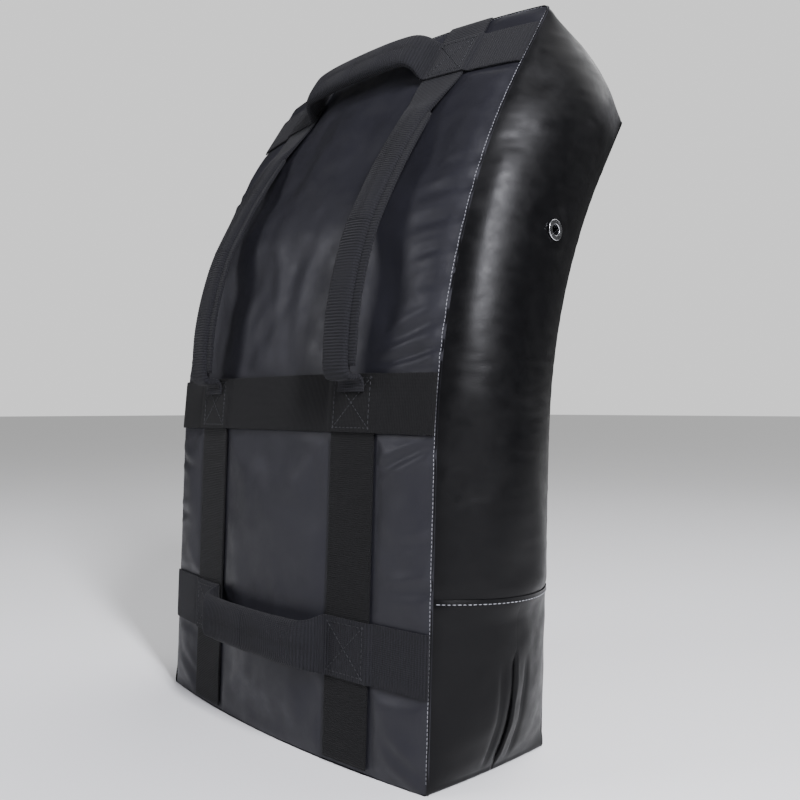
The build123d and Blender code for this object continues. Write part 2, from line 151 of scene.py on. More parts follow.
# ------------------------------------------------------------------ meshes
def grid_object(name, points, material, closed=False):
    """Object from a grid of points [rows, columns, 3], with a UV map in metres along both ways."""
    rows, columns = points.shape[:2]
    mesh = bpy.data.meshes.new(name)
    index = np.arange(rows * columns).reshape(rows, columns)
    if closed:
        index = np.concatenate([index, index[:, :1]], axis=1)
    faces = np.stack([index[:-1, :-1], index[:-1, 1:], index[1:, 1:], index[1:, :-1]], axis=-1).reshape(-1, 4)
    mesh.from_pydata(points.reshape(-1, 3).tolist(), [], faces.tolist())
    ring = np.concatenate([points, points[:, :1]], axis=1) if closed else points
    along = np.concatenate([[0], np.cumsum(np.linalg.norm(np.diff(ring, axis=0), axis=-1).mean(axis=1))])
    across = np.concatenate([[0], np.cumsum(np.linalg.norm(np.diff(ring, axis=1), axis=-1).mean(axis=0))])
    v, u = np.meshgrid(along, across, indexing="ij")
    corner = np.stack([u, v], axis=-1)
    loops = np.stack([corner[:-1, :-1], corner[:-1, 1:], corner[1:, 1:], corner[1:, :-1]], axis=-2)
    layer = mesh.uv_layers.new(name="UVMap")
    layer.data.foreach_set("uv", loops.reshape(-1))
    mesh.polygons.foreach_set("use_smooth", [True] * len(mesh.polygons))
    mesh.materials.append(material)
    obj = bpy.data.objects.new(name, mesh)
    bpy.context.collection.objects.link(obj)
    return obj


def thicken(obj, thickness):
    """Gives an open sheet a thickness, inwards."""
    wall = obj.modifiers.new("Wall", "SOLIDIFY")
    wall.thickness = thickness
    wall.offset = -1
    wall.use_even_offset = True


def baked(obj):
    """Applies an object's modifiers into its mesh."""
    graph = bpy.context.evaluated_depsgraph_get()
    graph.update()
    mesh = bpy.data.meshes.new_from_object(obj.evaluated_get(graph), preserve_all_data_layers=True, depsgraph=graph)
    old = obj.data
    if obj.type == "MESH":
        obj.modifiers.clear()
        obj.data = mesh
        bpy.data.meshes.remove(old)
        return obj
    name = obj.name
    bpy.data.objects.remove(obj)
    result = bpy.data.objects.new(name, mesh)
    result.name = name
    bpy.context.collection.objects.link(result)
    return result


def rounded_section(width, thickness, power, count):
    """Points round a section that is nearly a rectangle for a high power and an ellipse for 2."""
    angle = np.linspace(0, 2 * pi, count, endpoint=False) + pi / count
    c, s = np.cos(angle), np.sin(angle)
    x = width / 2 * np.sign(c) * np.abs(c) ** (2 / power)
    y = thickness / 2 * np.sign(s) * np.abs(s) ** (2 / power)
    return x, y


def spline(controls, step):
    """Evenly spaced points on a Catmull-Rom curve through rows of control values."""
    controls = np.asarray(controls, float)
    padded = np.vstack([2 * controls[0] - controls[1], controls, 2 * controls[-1] - controls[-2]])
    fine = []
    for a, b, c, d in zip(padded, padded[1:], padded[2:], padded[3:]):
        t = np.linspace(0, 1, 24, endpoint=False)[:, None]
        fine.append(0.5 * (2 * b + (c - a) * t + (2 * a - 5 * b + 4 * c - d) * t**2 + (3 * b - a - 3 * c + d) * t**3))
    fine = np.vstack(fine + [controls[-1:]])
    length = np.concatenate([[0], np.cumsum(np.linalg.norm(np.diff(fine[:, :3], axis=0), axis=1))])
    count = max(3, ceil(length[-1] / step) + 1)
    places = np.linspace(0, length[-1], count)
    return np.stack([np.interp(places, length, fine[:, k]) for k in range(fine.shape[1])], axis=1)


def sweep(name, centres, side, sections, material):
    """Closed tube through centres; side gives the section's width direction and sections its shape.

    sections[i] is (x, y): x along side, y outwards, perpendicular to both side and the path.
    """
    centres = np.asarray(centres, float)
    tangent = np.gradient(centres, axis=0)
    tangent /= np.linalg.norm(tangent, axis=1)[:, None]
    side = np.broadcast_to(np.asarray(side, float), centres.shape)
    side = side - tangent * np.sum(side * tangent, axis=1)[:, None]
    side /= np.linalg.norm(side, axis=1)[:, None]
    outward = np.cross(side, tangent)
    rings = np.stack([c + o[0][:, None] * a + o[1][:, None] * b for c, a, b, o in zip(centres, side, outward, sections)])
    obj = grid_object(name, rings, material, closed=True)
    shell = bmesh.new()
    shell.from_mesh(obj.data)
    bmesh.ops.holes_fill(shell, edges=[e for e in shell.edges if e.is_boundary], sides=0)
    bmesh.ops.recalc_face_normals(shell, faces=shell.faces)
    shell.to_mesh(obj.data)
    shell.free()
    return obj


# ------------------------------------------------------------------ nodes
def node(tree, kind, inputs=(), **settings):
    """Adds a node; inputs maps a socket's name or number to a value or to another node's output."""
    new = tree.nodes.new(kind)
    for key, value in settings.items():
        setattr(new, key, value)
    for key, value in dict(inputs).items():
        socket = new.inputs[key]
        if isinstance(value, bpy.types.NodeSocket):
            tree.links.new(value, socket)
        else:
            socket.default_value = value
    return new


def linear(text):
    """Linear RGBA of an sRGB hex colour."""
    parts = [int(text[i : i + 2], 16) / 255 for i in (0, 2, 4)]
    return tuple(c / 12.92 if c <= 0.04045 else ((c + 0.055) / 1.055) ** 2.4 for c in parts) + (1.0,)


def shade(colour, factor):
    """The same colour, lighter or darker."""
    return tuple(min(1.0, c * factor) for c in colour[:3]) + (1.0,)


def new_material(name):
    material = bpy.data.materials.new(name)
    material.use_nodes = True
    material.node_tree.nodes.clear()
    return material, material.node_tree


def finish_material(tree, shader):
    node(tree, "ShaderNodeOutputMaterial", {"Surface": shader.outputs["BSDF"]})


def coated_cloth(name, colour, roughness, grain_mm, grain_depth, streak, gloss=0.25, coat=0.0):
    """Polyvinyl or polyurethane coated cloth, embossed with a leather grain on the roll.

    The eye sees pebbles about a millimetre across, faint mottling over a hand's width, and duller
    patches where it has been rubbed.
    """
    material, tree = new_material(name)
    place = node(tree, "ShaderNodeTexCoord").outputs["Object"]
    cell = node(tree, "ShaderNodeTexVoronoi", {"Vector": place, "Scale": 1000 / grain_mm, "Smoothness": 0.6}, feature="SMOOTH_F1")
    stretched = node(tree, "ShaderNodeMapping", {"Vector": place, "Scale": (1.0, 1.0, streak)})
    pores = node(tree, "ShaderNodeTexNoise", {"Vector": stretched.outputs[0], "Scale": 420.0, "Detail": 2.0, "Roughness": 0.5})
    patches = node(tree, "ShaderNodeTexNoise", {"Vector": place, "Scale": 14.0, "Detail": 4.0, "Roughness": 0.55})
    wear = node(tree, "ShaderNodeTexNoise", {"Vector": place, "Scale": 70.0, "Detail": 5.0, "Roughness": 0.65})
    tint = colour_mix(tree, patches.outputs["Fac"], shade(colour, 0.80), shade(colour, 1.22))
    dull = node(tree, "ShaderNodeMapRange", {"Value": wear.outputs["Fac"], "From Min": 0.3, "From Max": 0.75, "To Min": roughness - 0.05, "To Max": roughness + 0.10})
    height = node(tree, "ShaderNodeMath", {0: cell.outputs["Distance"], 1: pores.outputs["Fac"]}, operation="ADD")
    bump = node(tree, "ShaderNodeBump", {"Height": height.outputs[0], "Strength": 1.0, "Distance": grain_depth})
    shader = node(tree, "ShaderNodeBsdfPrincipled", {
        "Base Color": tint, "Roughness": dull.outputs[0], "IOR": 1.5, "Normal": bump.outputs[0],
        "Coat Weight": coat, "Coat Roughness": 0.25, "Specular IOR Level": gloss,
    })
    finish_material(tree, shader)
    return material


def colour_mix(tree, factor, first, second):
    """Output of a colour Mix node."""
    mix = node(tree, "ShaderNodeMix", data_type="RGBA")
    for number, value in ((0, factor), (6, first), (7, second)):
        if isinstance(value, bpy.types.NodeSocket):
            tree.links.new(value, mix.inputs[number])
        else:
            mix.inputs[number].default_value = value
    return mix.outputs[2]


def banded_cloth(name, colour, band_colour, roughness):
    """Coated cloth of the strike side, with one plain dyed band across it."""
    material = coated_cloth(name, colour, roughness, 1.1, 0.00003, 1.0)
    tree = material.node_tree
    shader = next(n for n in tree.nodes if n.type == "BSDF_PRINCIPLED")
    tint = shader.inputs["Base Color"].links[0].from_socket
    place = node(tree, "ShaderNodeTexCoord").outputs["Object"]
    up = node(tree, "ShaderNodeSeparateXYZ", {0: place}).outputs["Z"]
    above = node(tree, "ShaderNodeMath", {0: up, 1: BAND_LOW}, operation="GREATER_THAN")
    under = node(tree, "ShaderNodeMath", {0: up, 1: BAND_HIGH}, operation="LESS_THAN")
    inside = node(tree, "ShaderNodeMath", {0: above.outputs[0], 1: under.outputs[0]}, operation="MULTIPLY")
    tree.links.new(colour_mix(tree, inside.outputs[0], tint, band_colour), shader.inputs["Base Color"])
    return material


def wave_along(tree, coordinate, pitch, sharp=1.0):
    """Output that rises and falls once in each pitch along a coordinate in metres, 0 to 1."""
    turns = node(tree, "ShaderNodeMath", {0: coordinate, 1: 2 * pi / pitch}, operation="MULTIPLY")
    wave = node(tree, "ShaderNodeMath", {0: turns.outputs[0]}, operation="SINE")
    lifted = node(tree, "ShaderNodeMath", {0: wave.outputs[0], 1: 0.5, 2: 0.5}, operation="MULTIPLY_ADD")
    return node(tree, "ShaderNodeMath", {0: lifted.outputs[0], 1: sharp}, operation="POWER").outputs[0]


def woven_webbing(name, colour, rib_pitch, rib_depth, warp_pitch=0.0011, place="UV"):
    """Polypropylene webbing, woven with a heavy weft, so it shows ribs from edge to edge.

    Fine warp yarns cross the ribs; the yarn is matte with a little sheen at a glancing angle. Its
    colour is painted darker in the hollows between the ribs and lighter on their crests, as painted shade and light.
    """
    material, tree = new_material(name)
    flat = node(tree, "ShaderNodeSeparateXYZ", {0: node(tree, "ShaderNodeTexCoord").outputs[place]})
    across, along = (flat.outputs[axis] for axis in ("XY" if place == "UV" else "YX"))
    jitter = node(tree, "ShaderNodeTexNoise", {"Vector": node(tree, "ShaderNodeTexCoord").outputs["Object"], "Scale": 160.0, "Detail": 3.0})
    wobble = node(tree, "ShaderNodeMath", {0: jitter.outputs["Fac"], 1: 0.35 * rib_pitch, 2: along}, operation="MULTIPLY_ADD")
    ribs = wave_along(tree, wobble.outputs[0], rib_pitch, 0.7)
    warp = wave_along(tree, across, warp_pitch)
    weave = node(tree, "ShaderNodeMath", {0: warp, 1: 0.35, 2: ribs}, operation="MULTIPLY_ADD")
    rough = node(tree, "ShaderNodeMath", {0: jitter.outputs["Fac"], 1: 0.25, 2: weave.outputs[0]}, operation="MULTIPLY_ADD")
    # painted shade and painted highlight: the colour is dark in the hollows between the ribs and light on their crests
    tint = colour_mix(tree, ribs, shade(colour, 0.38), shade(colour, 1.25))
    fade = node(tree, "ShaderNodeTexNoise", {"Vector": node(tree, "ShaderNodeTexCoord").outputs["Object"], "Scale": 22.0, "Detail": 4.0})
    # random faded patches, which are real wear, mixed over the painted rib shade and highlight
    rib_shade_and_wear = colour_mix(tree, fade.outputs["Fac"], shade(colour, 0.75), tint)
    bump = node(tree, "ShaderNodeBump", {"Height": rough.outputs[0], "Strength": 1.0, "Distance": rib_depth})
    shader = node(tree, "ShaderNodeBsdfPrincipled", {
        "Base Color": rib_shade_and_wear, "Roughness": 0.82, "IOR": 1.5, "Normal": bump.outputs[0], "Specular IOR Level": 0.2,
        "Sheen Weight": 0.03, "Sheen Roughness": 0.5,
    })
    finish_material(tree, shader)
    return material


def twisted_thread(name, colour):
    """Bonded nylon sewing thread: smooth, a little glossy, twisted about every 0.8 mm."""
    material, tree = new_material(name)
    place = node(tree, "ShaderNodeTexCoord").outputs["Object"]
    twist = node(tree, "ShaderNodeTexNoise", {"Vector": place, "Scale": 900.0, "Detail": 2.0})
    # painted shade and painted highlight: the colour follows the twist's bump, dark in its grooves and light on its
    # ridges
    tint = colour_mix(tree, twist.outputs["Fac"], shade(colour, 0.6), shade(colour, 1.2))
    bump = node(tree, "ShaderNodeBump", {"Height": twist.outputs["Fac"], "Distance": 0.0001})
    shader = node(tree, "ShaderNodeBsdfPrincipled", {"Base Color": tint, "Roughness": 0.5, "Normal": bump.outputs[0]})
    finish_material(tree, shader)
    return material


def plated_metal(name, colour, roughness, metallic):
    """Pressed metal with a nickel plate or a baked enamel: smooth, with faint handling marks."""
    material, tree = new_material(name)
    place = node(tree, "ShaderNodeTexCoord").outputs["Object"]
    marks = node(tree, "ShaderNodeTexNoise", {"Vector": place, "Scale": 300.0, "Detail": 6.0, "Roughness": 0.7})
    gloss = node(tree, "ShaderNodeMapRange", {"Value": marks.outputs["Fac"], "From Min": 0.3, "From Max": 0.8, "To Min": roughness, "To Max": roughness + 0.2})
    tint = colour_mix(tree, marks.outputs["Fac"], shade(colour, 0.85), shade(colour, 1.1))
    bump = node(tree, "ShaderNodeBump", {"Height": marks.outputs["Fac"], "Distance": 0.00003})
    shader = node(tree, "ShaderNodeBsdfPrincipled", {"Base Color": tint, "Metallic": metallic, "Roughness": gloss.outputs[0], "Normal": bump.outputs[0]})
    finish_material(tree, shader)
    return material


def foam_rubber(name, colour):
    """Closed-cell polyethylene foam, cut with a knife: dull, with fine open cells on the cut."""
    material, tree = new_material(name)
    place = node(tree, "ShaderNodeTexCoord").outputs["Object"]
    cells = node(tree, "ShaderNodeTexVoronoi", {"Vector": place, "Scale": 900.0})
    # painted shade: the colour is darker in the hollow middle of each open cell, where the bump is lowest
    tint = colour_mix(tree, cells.outputs["Distance"], shade(colour, 0.7), colour)
    bump = node(tree, "ShaderNodeBump", {"Height": cells.outputs["Distance"], "Distance": 0.0003})
    shader = node(tree, "ShaderNodeBsdfPrincipled", {"Base Color": tint, "Roughness": 0.9, "Normal": bump.outputs[0]})
    finish_material(tree, shader)
    return material


# ------------------------------------------------------------------ Geometry Nodes
def new_geometry_tree(name, sizes):
    """Node tree with a geometry input, named number inputs, a material input and its output."""
    tree = bpy.data.node_groups.new(name, "GeometryNodeTree")
    tree.interface.new_socket("Geometry", in_out="INPUT", socket_type="NodeSocketGeometry")
    for label, default in sizes.items():
        tree.interface.new_socket(label, in_out="INPUT", socket_type="NodeSocketFloat").default_value = default
    tree.interface.new_socket("Material", in_out="INPUT", socket_type="NodeSocketMaterial")
    tree.interface.new_socket("Geometry", in_out="OUTPUT", socket_type="NodeSocketGeometry")
    return tree, node(tree, "NodeGroupInput"), node(tree, "NodeGroupOutput")


def stitch_tree():
    """Running stitch: short plump thread lengths at an even pitch along every curve."""
    tree, given, result = new_geometry_tree("Running stitch", {"Pitch": 0.005, "Length": 0.0036, "Thread": 0.0007})
    path = node(tree, "GeometryNodeResampleCurve", {"Curve": given.outputs["Geometry"], "Length": given.outputs["Pitch"]}, mode="LENGTH")
    tangent = node(tree, "GeometryNodeInputTangent")
    turn = node(tree, "FunctionNodeAlignEulerToVector", {"Vector": tangent.outputs[0]}, axis="X")
    chance = node(tree, "FunctionNodeRandomValue", {2: 0.88, 3: 1.12, "Seed": 7})
    ball = node(tree, "GeometryNodeMeshIcoSphere", {"Radius": 0.5, "Subdivisions": 2})
    size = node(tree, "ShaderNodeCombineXYZ", {0: given.outputs["Length"], 1: given.outputs["Thread"], 2: given.outputs["Thread"]})
    bead = node(tree, "GeometryNodeTransform", {"Geometry": ball.outputs["Mesh"], "Scale": size.outputs[0]})
    placed = node(tree, "GeometryNodeInstanceOnPoints", {
        "Points": path.outputs[0], "Instance": bead.outputs[0], "Rotation": turn.outputs[0], "Scale": chance.outputs[1],
    })
    real = node(tree, "GeometryNodeRealizeInstances", {"Geometry": placed.outputs[0]})
    soft = node(tree, "GeometryNodeSetShadeSmooth", {"Geometry": real.outputs[0]})
    dressed = node(tree, "GeometryNodeSetMaterial", {"Geometry": soft.outputs[0], "Material": given.outputs["Material"]})
    tree.links.new(dressed.outputs[0], result.inputs[0])
    return tree


def coil_tree():
    """Zip coil: one bent loop of nylon for each tooth, at an even pitch along a line."""
    tree, given, result = new_geometry_tree("Zip coil", {"Pitch": 0.0017, "Reach": 0.0024, "Rise": 0.0022, "Monofilament": 0.0008})
    path = node(tree, "GeometryNodeResampleCurve", {"Curve": given.outputs["Geometry"], "Length": given.outputs["Pitch"]}, mode="LENGTH")
    hoop = node(tree, "GeometryNodeCurvePrimitiveCircle", {"Radius": 0.5, "Resolution": 10})
    wire = node(tree, "GeometryNodeCurvePrimitiveCircle", {"Resolution": 6})
    thin = node(tree, "GeometryNodeTransform", {"Geometry": wire.outputs[0]})
    thin.inputs["Scale"].default_value = (0.17, 0.17, 0.17)
    loop = node(tree, "GeometryNodeCurveToMesh", {"Curve": hoop.outputs[0], "Profile Curve": thin.outputs[0]})
    upright = node(tree, "GeometryNodeTransform", {"Geometry": loop.outputs[0], "Rotation": (0.0, pi / 2, 0.12)})
    size = node(tree, "ShaderNodeCombineXYZ", {0: given.outputs["Monofilament"], 1: given.outputs["Reach"], 2: given.outputs["Rise"]})
    scaled = node(tree, "ShaderNodeVectorMath", {0: size.outputs[0], 1: (3.0, 1.0, 1.0)}, operation="MULTIPLY")
    tooth = node(tree, "GeometryNodeTransform", {"Geometry": upright.outputs[0], "Scale": scaled.outputs[0]})
    placed = node(tree, "GeometryNodeInstanceOnPoints", {"Points": path.outputs[0], "Instance": tooth.outputs[0]})
    real = node(tree, "GeometryNodeRealizeInstances", {"Geometry": placed.outputs[0]})
    dressed = node(tree, "GeometryNodeSetMaterial", {"Geometry": real.outputs[0], "Material": given.outputs["Material"]})
    tree.links.new(dressed.outputs[0], result.inputs[0])
    return tree


def along_lines(name, lines, tree, material, **sizes):
    """Mesh made by a node tree along polylines, each a list of points."""
    curve = bpy.data.curves.new(name, "CURVE")
    curve.dimensions = "3D"
    for line in lines:
        run = curve.splines.new("POLY")
        run.points.add(len(line) - 1)
        run.points.foreach_set("co", [c for p in line for c in (*p, 1.0)])
    obj = bpy.data.objects.new(name, curve)
    bpy.context.collection.objects.link(obj)
    maker = obj.modifiers.new("Repeat", "NODES")
    maker.node_group = tree
    sockets = {item.name: item.identifier for item in tree.interface.items_tree if item.in_out == "INPUT"}
    for label, value in sizes.items():
        maker[sockets[label]] = value
    maker[sockets["Material"]] = material
    return baked(obj)


# ------------------------------------------------------------------ settings
def length_setting(label, about, millimetres):
    return FloatProperty(name=label, description=about, default=millimetres / 1000, min=0.0, unit="LENGTH", precision=5)


def colour_setting(label, about, text):
    return FloatVectorProperty(name=label, description=about, default=linear(text)[:3], subtype="COLOR", min=0.0, max=1.0)


class ShieldSizes(bpy.types.PropertyGroup):
    """Sizes of the soft detail; the form itself comes from the frame."""

    fullness: length_setting("Fullness", "How far the cover swells between the straps", 3.0)
    seam_depth: length_setting("Seam depth", "How far a stitched seam pulls the cover in", 1.6)
    pucker: length_setting("Puckers", "Height of the gathers along the side seams", 1.3)
    rib_pitch: length_setting("Strap ribs", "Distance between the ribs of the flat straps", 1.7)
    grip_rib_pitch: length_setting("Grip ribs", "Distance between the ribs of the padded grips", 2.7)
    stitch_pitch: length_setting("Stitch pitch", "Distance from one stitch to the next", 4.2)
    stitch_length: length_setting("Stitch length", "Visible thread of one stitch", 3.2)
    thread: length_setting("Thread", "Thickness of the sewing thread", 0.7)


class ShieldColours(bpy.types.PropertyGroup):
    """Colours of the shield and its stage."""

    panel: colour_setting("Holder panel", "Slate grey coated cloth", "1c1c21")
    gusset: colour_setting("Gussets", "Black grained coated cloth", "070708")
    strike: colour_setting("Strike panel", "Black coated cloth of the struck side", "0e0e10")
    band: colour_setting("Band", "Plain band on the struck side", "8f1a20")
    webbing: colour_setting("Straps", "Black webbing", "070708")
    grip: colour_setting("Grips", "Webbing of the padded grips", "17171b")
    pale_thread: colour_setting("Seam thread", "Light grey sewing thread", "8e8f94")
    dark_thread: colour_setting("Strap thread", "Dark sewing thread", "1d1e22")
    tape: colour_setting("Zip tape", "Black woven tape", "141416")
    coil: colour_setting("Zip coil", "Black nylon", "1a1a1d")
    enamel: colour_setting("Zip slider", "Black enamel", "1b1b1e")
    nickel: colour_setting("Eyelets", "Nickel plate", "c9cacd")
    foam: colour_setting("Foam", "Grey closed-cell foam", "4a4c52")
    floor: colour_setting("Floor", "Pale studio floor", "f2f2f2")


def sizes():
    return bpy.context.scene.shield_sizes


def rgba(name):
    return tuple(getattr(bpy.context.scene.shield_colours, name)) + (1.0,)


MATERIALS = {}


def material(name):
    """The named finish, made on first use."""
    if name not in MATERIALS:
        size = sizes()
        makers = {
            "holder_vinyl": lambda: coated_cloth(name, rgba("panel"), 0.50, 0.9, 0.00004, 1.0),
            "gusset_leathercloth": lambda: coated_cloth(name, rgba("gusset"), 0.36, 0.9, 0.00003, 3.0, 0.13),
            "strike_leathercloth": lambda: banded_cloth(name, rgba("strike"), rgba("band"), 0.38),
            "strap_webbing": lambda: woven_webbing(name, rgba("webbing"), size.rib_pitch, 0.00025),
            "grip_webbing": lambda: woven_webbing(name, rgba("grip"), size.grip_rib_pitch, 0.00045),
            "zip_tape_weave": lambda: woven_webbing(name, rgba("tape"), 0.0012, 0.0002, place="Object"),
            "pale_nylon_thread": lambda: twisted_thread(name, rgba("pale_thread")),
            "dark_nylon_thread": lambda: twisted_thread(name, rgba("dark_thread")),
            "coil_nylon": lambda: twisted_thread(name, rgba("coil")),
            "black_enamel": lambda: plated_metal(name, rgba("enamel"), 0.30, 0.0),
            "nickel_plate": lambda: plated_metal(name, rgba("nickel"), 0.16, 1.0),
            "cut_foam": lambda: foam_rubber(name, rgba("foam")),
        }
        MATERIALS[name] = makers[name]()
    return MATERIALS[name]


# ------------------------------------------------------------------ cover
FLAT_STRAPS = (  # places that a sewn strap holds down: low s, high s, inner u, outer u, on both sides
    (0.004, 0.328, 0.083, 0.133),
    (0.612, 0.700, 0.083, 0.133),
    (0.278, 0.328, 0.0, 0.193),
    (0.0733, 0.1233, 0.083, 0.193),
    (0.623, 0.673, 0.083, 0.193),
)
CREASES = (  # folds in the cover: from (s, u) to (s, u), depth and half width in millimetres
    (0.334, 0.128, 0.349, 0.192, 2.6, 5.0),
    (0.352, 0.136, 0.373, 0.192, 2.0, 6.0),
    (0.247, 0.136, 0.272, 0.192, 2.0, 5.0),
    (0.398, 0.158, 0.402, 0.192, 1.0, 6.0),
    (0.425, 0.154, 0.432, 0.192, 1.3, 5.0),
    (0.452, 0.150, 0.460, 0.192, 1.7, 6.0),
    (0.480, 0.150, 0.488, 0.192, 1.8, 6.0),
    (0.508, 0.162, 0.514, 0.192, 1.2, 5.0),
    (0.150, 0.150, 0.158, 0.192, 1.6, 6.0),
    (0.186, 0.160, 0.196, 0.192, 1.0, 6.0),
    (0.330, -0.140, 0.344, -0.192, 2.0, 5.0),
    (0.365, -0.150, 0.374, -0.192, 1.6, 6.0),
    (0.236, -0.150, 0.246, -0.192, 1.6, 6.0),
    (0.190, -0.155, 0.186, -0.192, 1.6, 6.0),
    (0.440, -0.158, 0.448, -0.192, 1.4, 6.0),
    (0.486, -0.155, 0.492, -0.192, 1.6, 6.0),
    (0.540, -0.160, 0.548, -0.192, 1.2, 5.0),
    (0.042, -0.170, 0.014, -0.120, 1.6, 6.0),
    (0.020, -0.060, 0.048, -0.020, 1.0, 8.0),
    (0.036, 0.150, 0.012, 0.186, 1.4, 6.0),
)


def seam_groove(distance):
    """How far a stitched seam pulls its neighbourhood in, by distance from it."""
    return sizes().seam_depth * np.exp(-((np.asarray(distance) / 0.0042) ** 1.5))


def crease(s, u, fold):
    """Height of one fold: a narrow valley with a soft ridge on each side, fading at its inner end."""
    s0, u0, s1, u1, depth, width = fold
    length = hypot(s1 - s0, u1 - u0)
    along = ((s - s0) * (s1 - s0) + (u - u0) * (u1 - u0)) / length**2
    off = ((u - u0) * (s1 - s0) - (s - s0) * (u1 - u0)) / length * 1000 / width
    fade = smooth(along, -0.25, 0.55) * (1 - smooth(along, 1.0, 1.35))
    return depth / 1000 * fade * (0.75 * np.exp(-(((np.abs(off) - 1.5) / 0.9) ** 2)) - np.exp(-(off**2)))


def strap_distance(s, u):
    """Distance from the nearest strap that is sewn flat on the panel."""
    nearest = np.full(np.broadcast(s, u).shape, 1.0)
    for low, high, inner, outer in FLAT_STRAPS:
        gap_s = np.maximum(np.maximum(low - s, s - high), 0)
        gap_u = np.maximum(np.maximum(inner - np.abs(u), np.abs(u) - outer), 0)
        nearest = np.minimum(nearest, np.hypot(gap_s, gap_u))
    return nearest


def blown(name, points, outward, held, growth, pressure, cap, frames=14):
    """How far each point of a cloth sheet moves outwards when the filling presses on it.

    The sheet is pinned where held is 1, cut a little too large by growth, and stopped at cap.
    """
    rows, columns = held.shape
    sheet = grid_object(name, points, material("cut_foam"))
    pins = sheet.vertex_groups.new(name="Pins")
    for index, weight in enumerate(held.reshape(-1).tolist()):
        if weight > 0:
            pins.add([index], weight, "REPLACE")
    cloth = sheet.modifiers.new("Cloth", "CLOTH")
    settings = cloth.settings
    settings.vertex_group_mass = "Pins"
    settings.quality = 6
    settings.mass = 0.3
    settings.air_damping = 3.0
    settings.tension_stiffness = 25
    settings.compression_stiffness = 25
    settings.shear_stiffness = 10
    settings.bending_stiffness = 0.8
    settings.shrink_min = -growth
    settings.use_pressure = True
    settings.uniform_pressure_force = pressure
    settings.effector_weights.gravity = 0.0
    cloth.point_cache.frame_start = 1
    cloth.point_cache.frame_end = frames
    for number in range(1, frames + 1):
        bpy.context.scene.frame_set(number)
    graph = bpy.context.evaluated_depsgraph_get()
    moved = np.empty(rows * columns * 3)
    sheet.evaluated_get(graph).data.vertices.foreach_get("co", moved)
    bpy.context.scene.frame_set(1)
    bpy.data.objects.remove(sheet)
    travel = np.sum((moved.reshape(rows, columns, 3) - points) * outward, axis=-1)
    return np.clip(travel, -cap / 2, cap)


def facing(points, reference):
    """Unit normals of a grid of points, on the side that points away from reference."""
    normal = np.cross(np.gradient(points, axis=0), np.gradient(points, axis=1))
    normal /= np.maximum(np.linalg.norm(normal, axis=-1), 1e-12)[..., None]
    flip = np.sign(np.sum(normal * (points - reference), axis=-1))
    return normal * flip[..., None]


def refined(field, rows, columns):
    """A coarse field spread evenly over a finer grid, and smoothed as thick cloth smooths it."""
    old_rows, old_columns = (np.linspace(0, 1, n) for n in field.shape)
    half = np.stack([np.interp(np.linspace(0, 1, columns), old_columns, line) for line in field])
    fine = np.stack([np.interp(np.linspace(0, 1, rows), old_rows, line) for line in half.T]).T
    for _ in range(14):
        fine[1:-1] = 0.25 * fine[:-2] + 0.5 * fine[1:-1] + 0.25 * fine[2:]
        fine[:, 1:-1] = 0.25 * fine[:, :-2] + 0.5 * fine[:, 1:-1] + 0.25 * fine[:, 2:]
    return fine


def holder_grid(rows, columns):
    low = 0.0006
    s, u = np.meshgrid(np.linspace(low, PROFILE, rows), np.linspace(-HALF, HALF, columns), indexing="ij")
    return s, u


def holder_height(s, u):
    """Height of the finished holder panel above its plain crown, without the blown part."""
    size = sizes()
    edge = np.minimum(np.minimum(HALF - np.abs(u), PROFILE - s), s + 0.004)
    strap = strap_distance(s, u)
    swell = size.fullness * (1 - np.exp(-((strap / 0.018) ** 1.4))) * (1 - np.exp(-edge / 0.022))
    folds = sum(crease(s, u, fold) for fold in CREASES)
    place = np.stack([s, u, 0 * s], axis=-1)
    side_edge = HALF - np.abs(u)
    gather = np.exp(-side_edge / 0.016) * np.sin(2 * pi * s / 0.021 + 2.5 * ripple(place, 0.06, 1))
    gather = gather * size.pucker * 0.5 * smooth(ripple(place, 0.09, 2), -0.6, 0.7)
    drift = 0.0007 * ripple(place, 0.05, 3) + 0.0005 * ripple(place, 0.022, 4)
    free = smooth(strap, 0.0, 0.010)
    return swell + (folds + gather + drift) * free * smooth(edge, 0, 0.007) - seam_groove(edge) - 0.0003


def seam_drop(s, u):
    """How far a strap sinks where it runs into a seam."""
    edge = np.minimum(HALF - np.abs(u), PROFILE - np.asarray(s))
    return float(seam_groove(max(edge, 0.0)))


def rounded_corners(s, u):
    """Moves the places near the top corners so that a square grid ends in rounded corners."""
    up = np.clip((s - PROFILE) / PANEL_CORNER + 1, 0, 1)
    out = np.clip((np.abs(u) - HALF) / PANEL_CORNER + 1, 0, 1)
    new_s = s - PANEL_CORNER * up * (1 - np.sqrt(1 - out**2 / 2))
    new_u = u - np.sign(u) * PANEL_CORNER * out * (1 - np.sqrt(1 - up**2 / 2))
    return new_s, new_u


def outline(v, side_count, corner_count, top_count):
    """Places (s, u) round the cover's edge at depth fraction v, from the right seam over the top."""
    swell = 4 * v * (1 - v)
    corner_s = PROFILE + TOP_BULGE * swell
    corner_u = HALF + SIDE_BULGE * swell
    cut = PANEL_CORNER + (CORNER - PANEL_CORNER) * swell
    side = [(s, corner_u) for s in np.linspace(SIDE_SEAM, corner_s - cut, side_count, endpoint=False)]
    turn = []
    for angle in np.linspace(0, pi / 2, corner_count, endpoint=False):
        turn.append((corner_s - cut * (1 - sin(angle)), corner_u - cut * (1 - cos(angle))))
    top = [(corner_s, u) for u in np.linspace(corner_u - cut, 0, top_count)]
    half = np.array(side + turn + top)
    tight = (1 - HEAD_SHARE) * (1 - np.clip((corner_s - half[:, 0]) / HEAD_RISE, 0, 1)) ** 2
    outer = np.clip(half[:, 1] / HALF, 0, 1)
    half[:, 1] -= SIDE_BULGE * swell * tight * outer**4
    half[:, 0] -= 0.9 * TOP_BULGE * swell * outer**2 * np.clip((half[:, 0] - PROFILE) / HEAD_RISE * 3 + 1, 0, 1)
    return np.concatenate([half, half[-2::-1] * np.array([1, -1])])


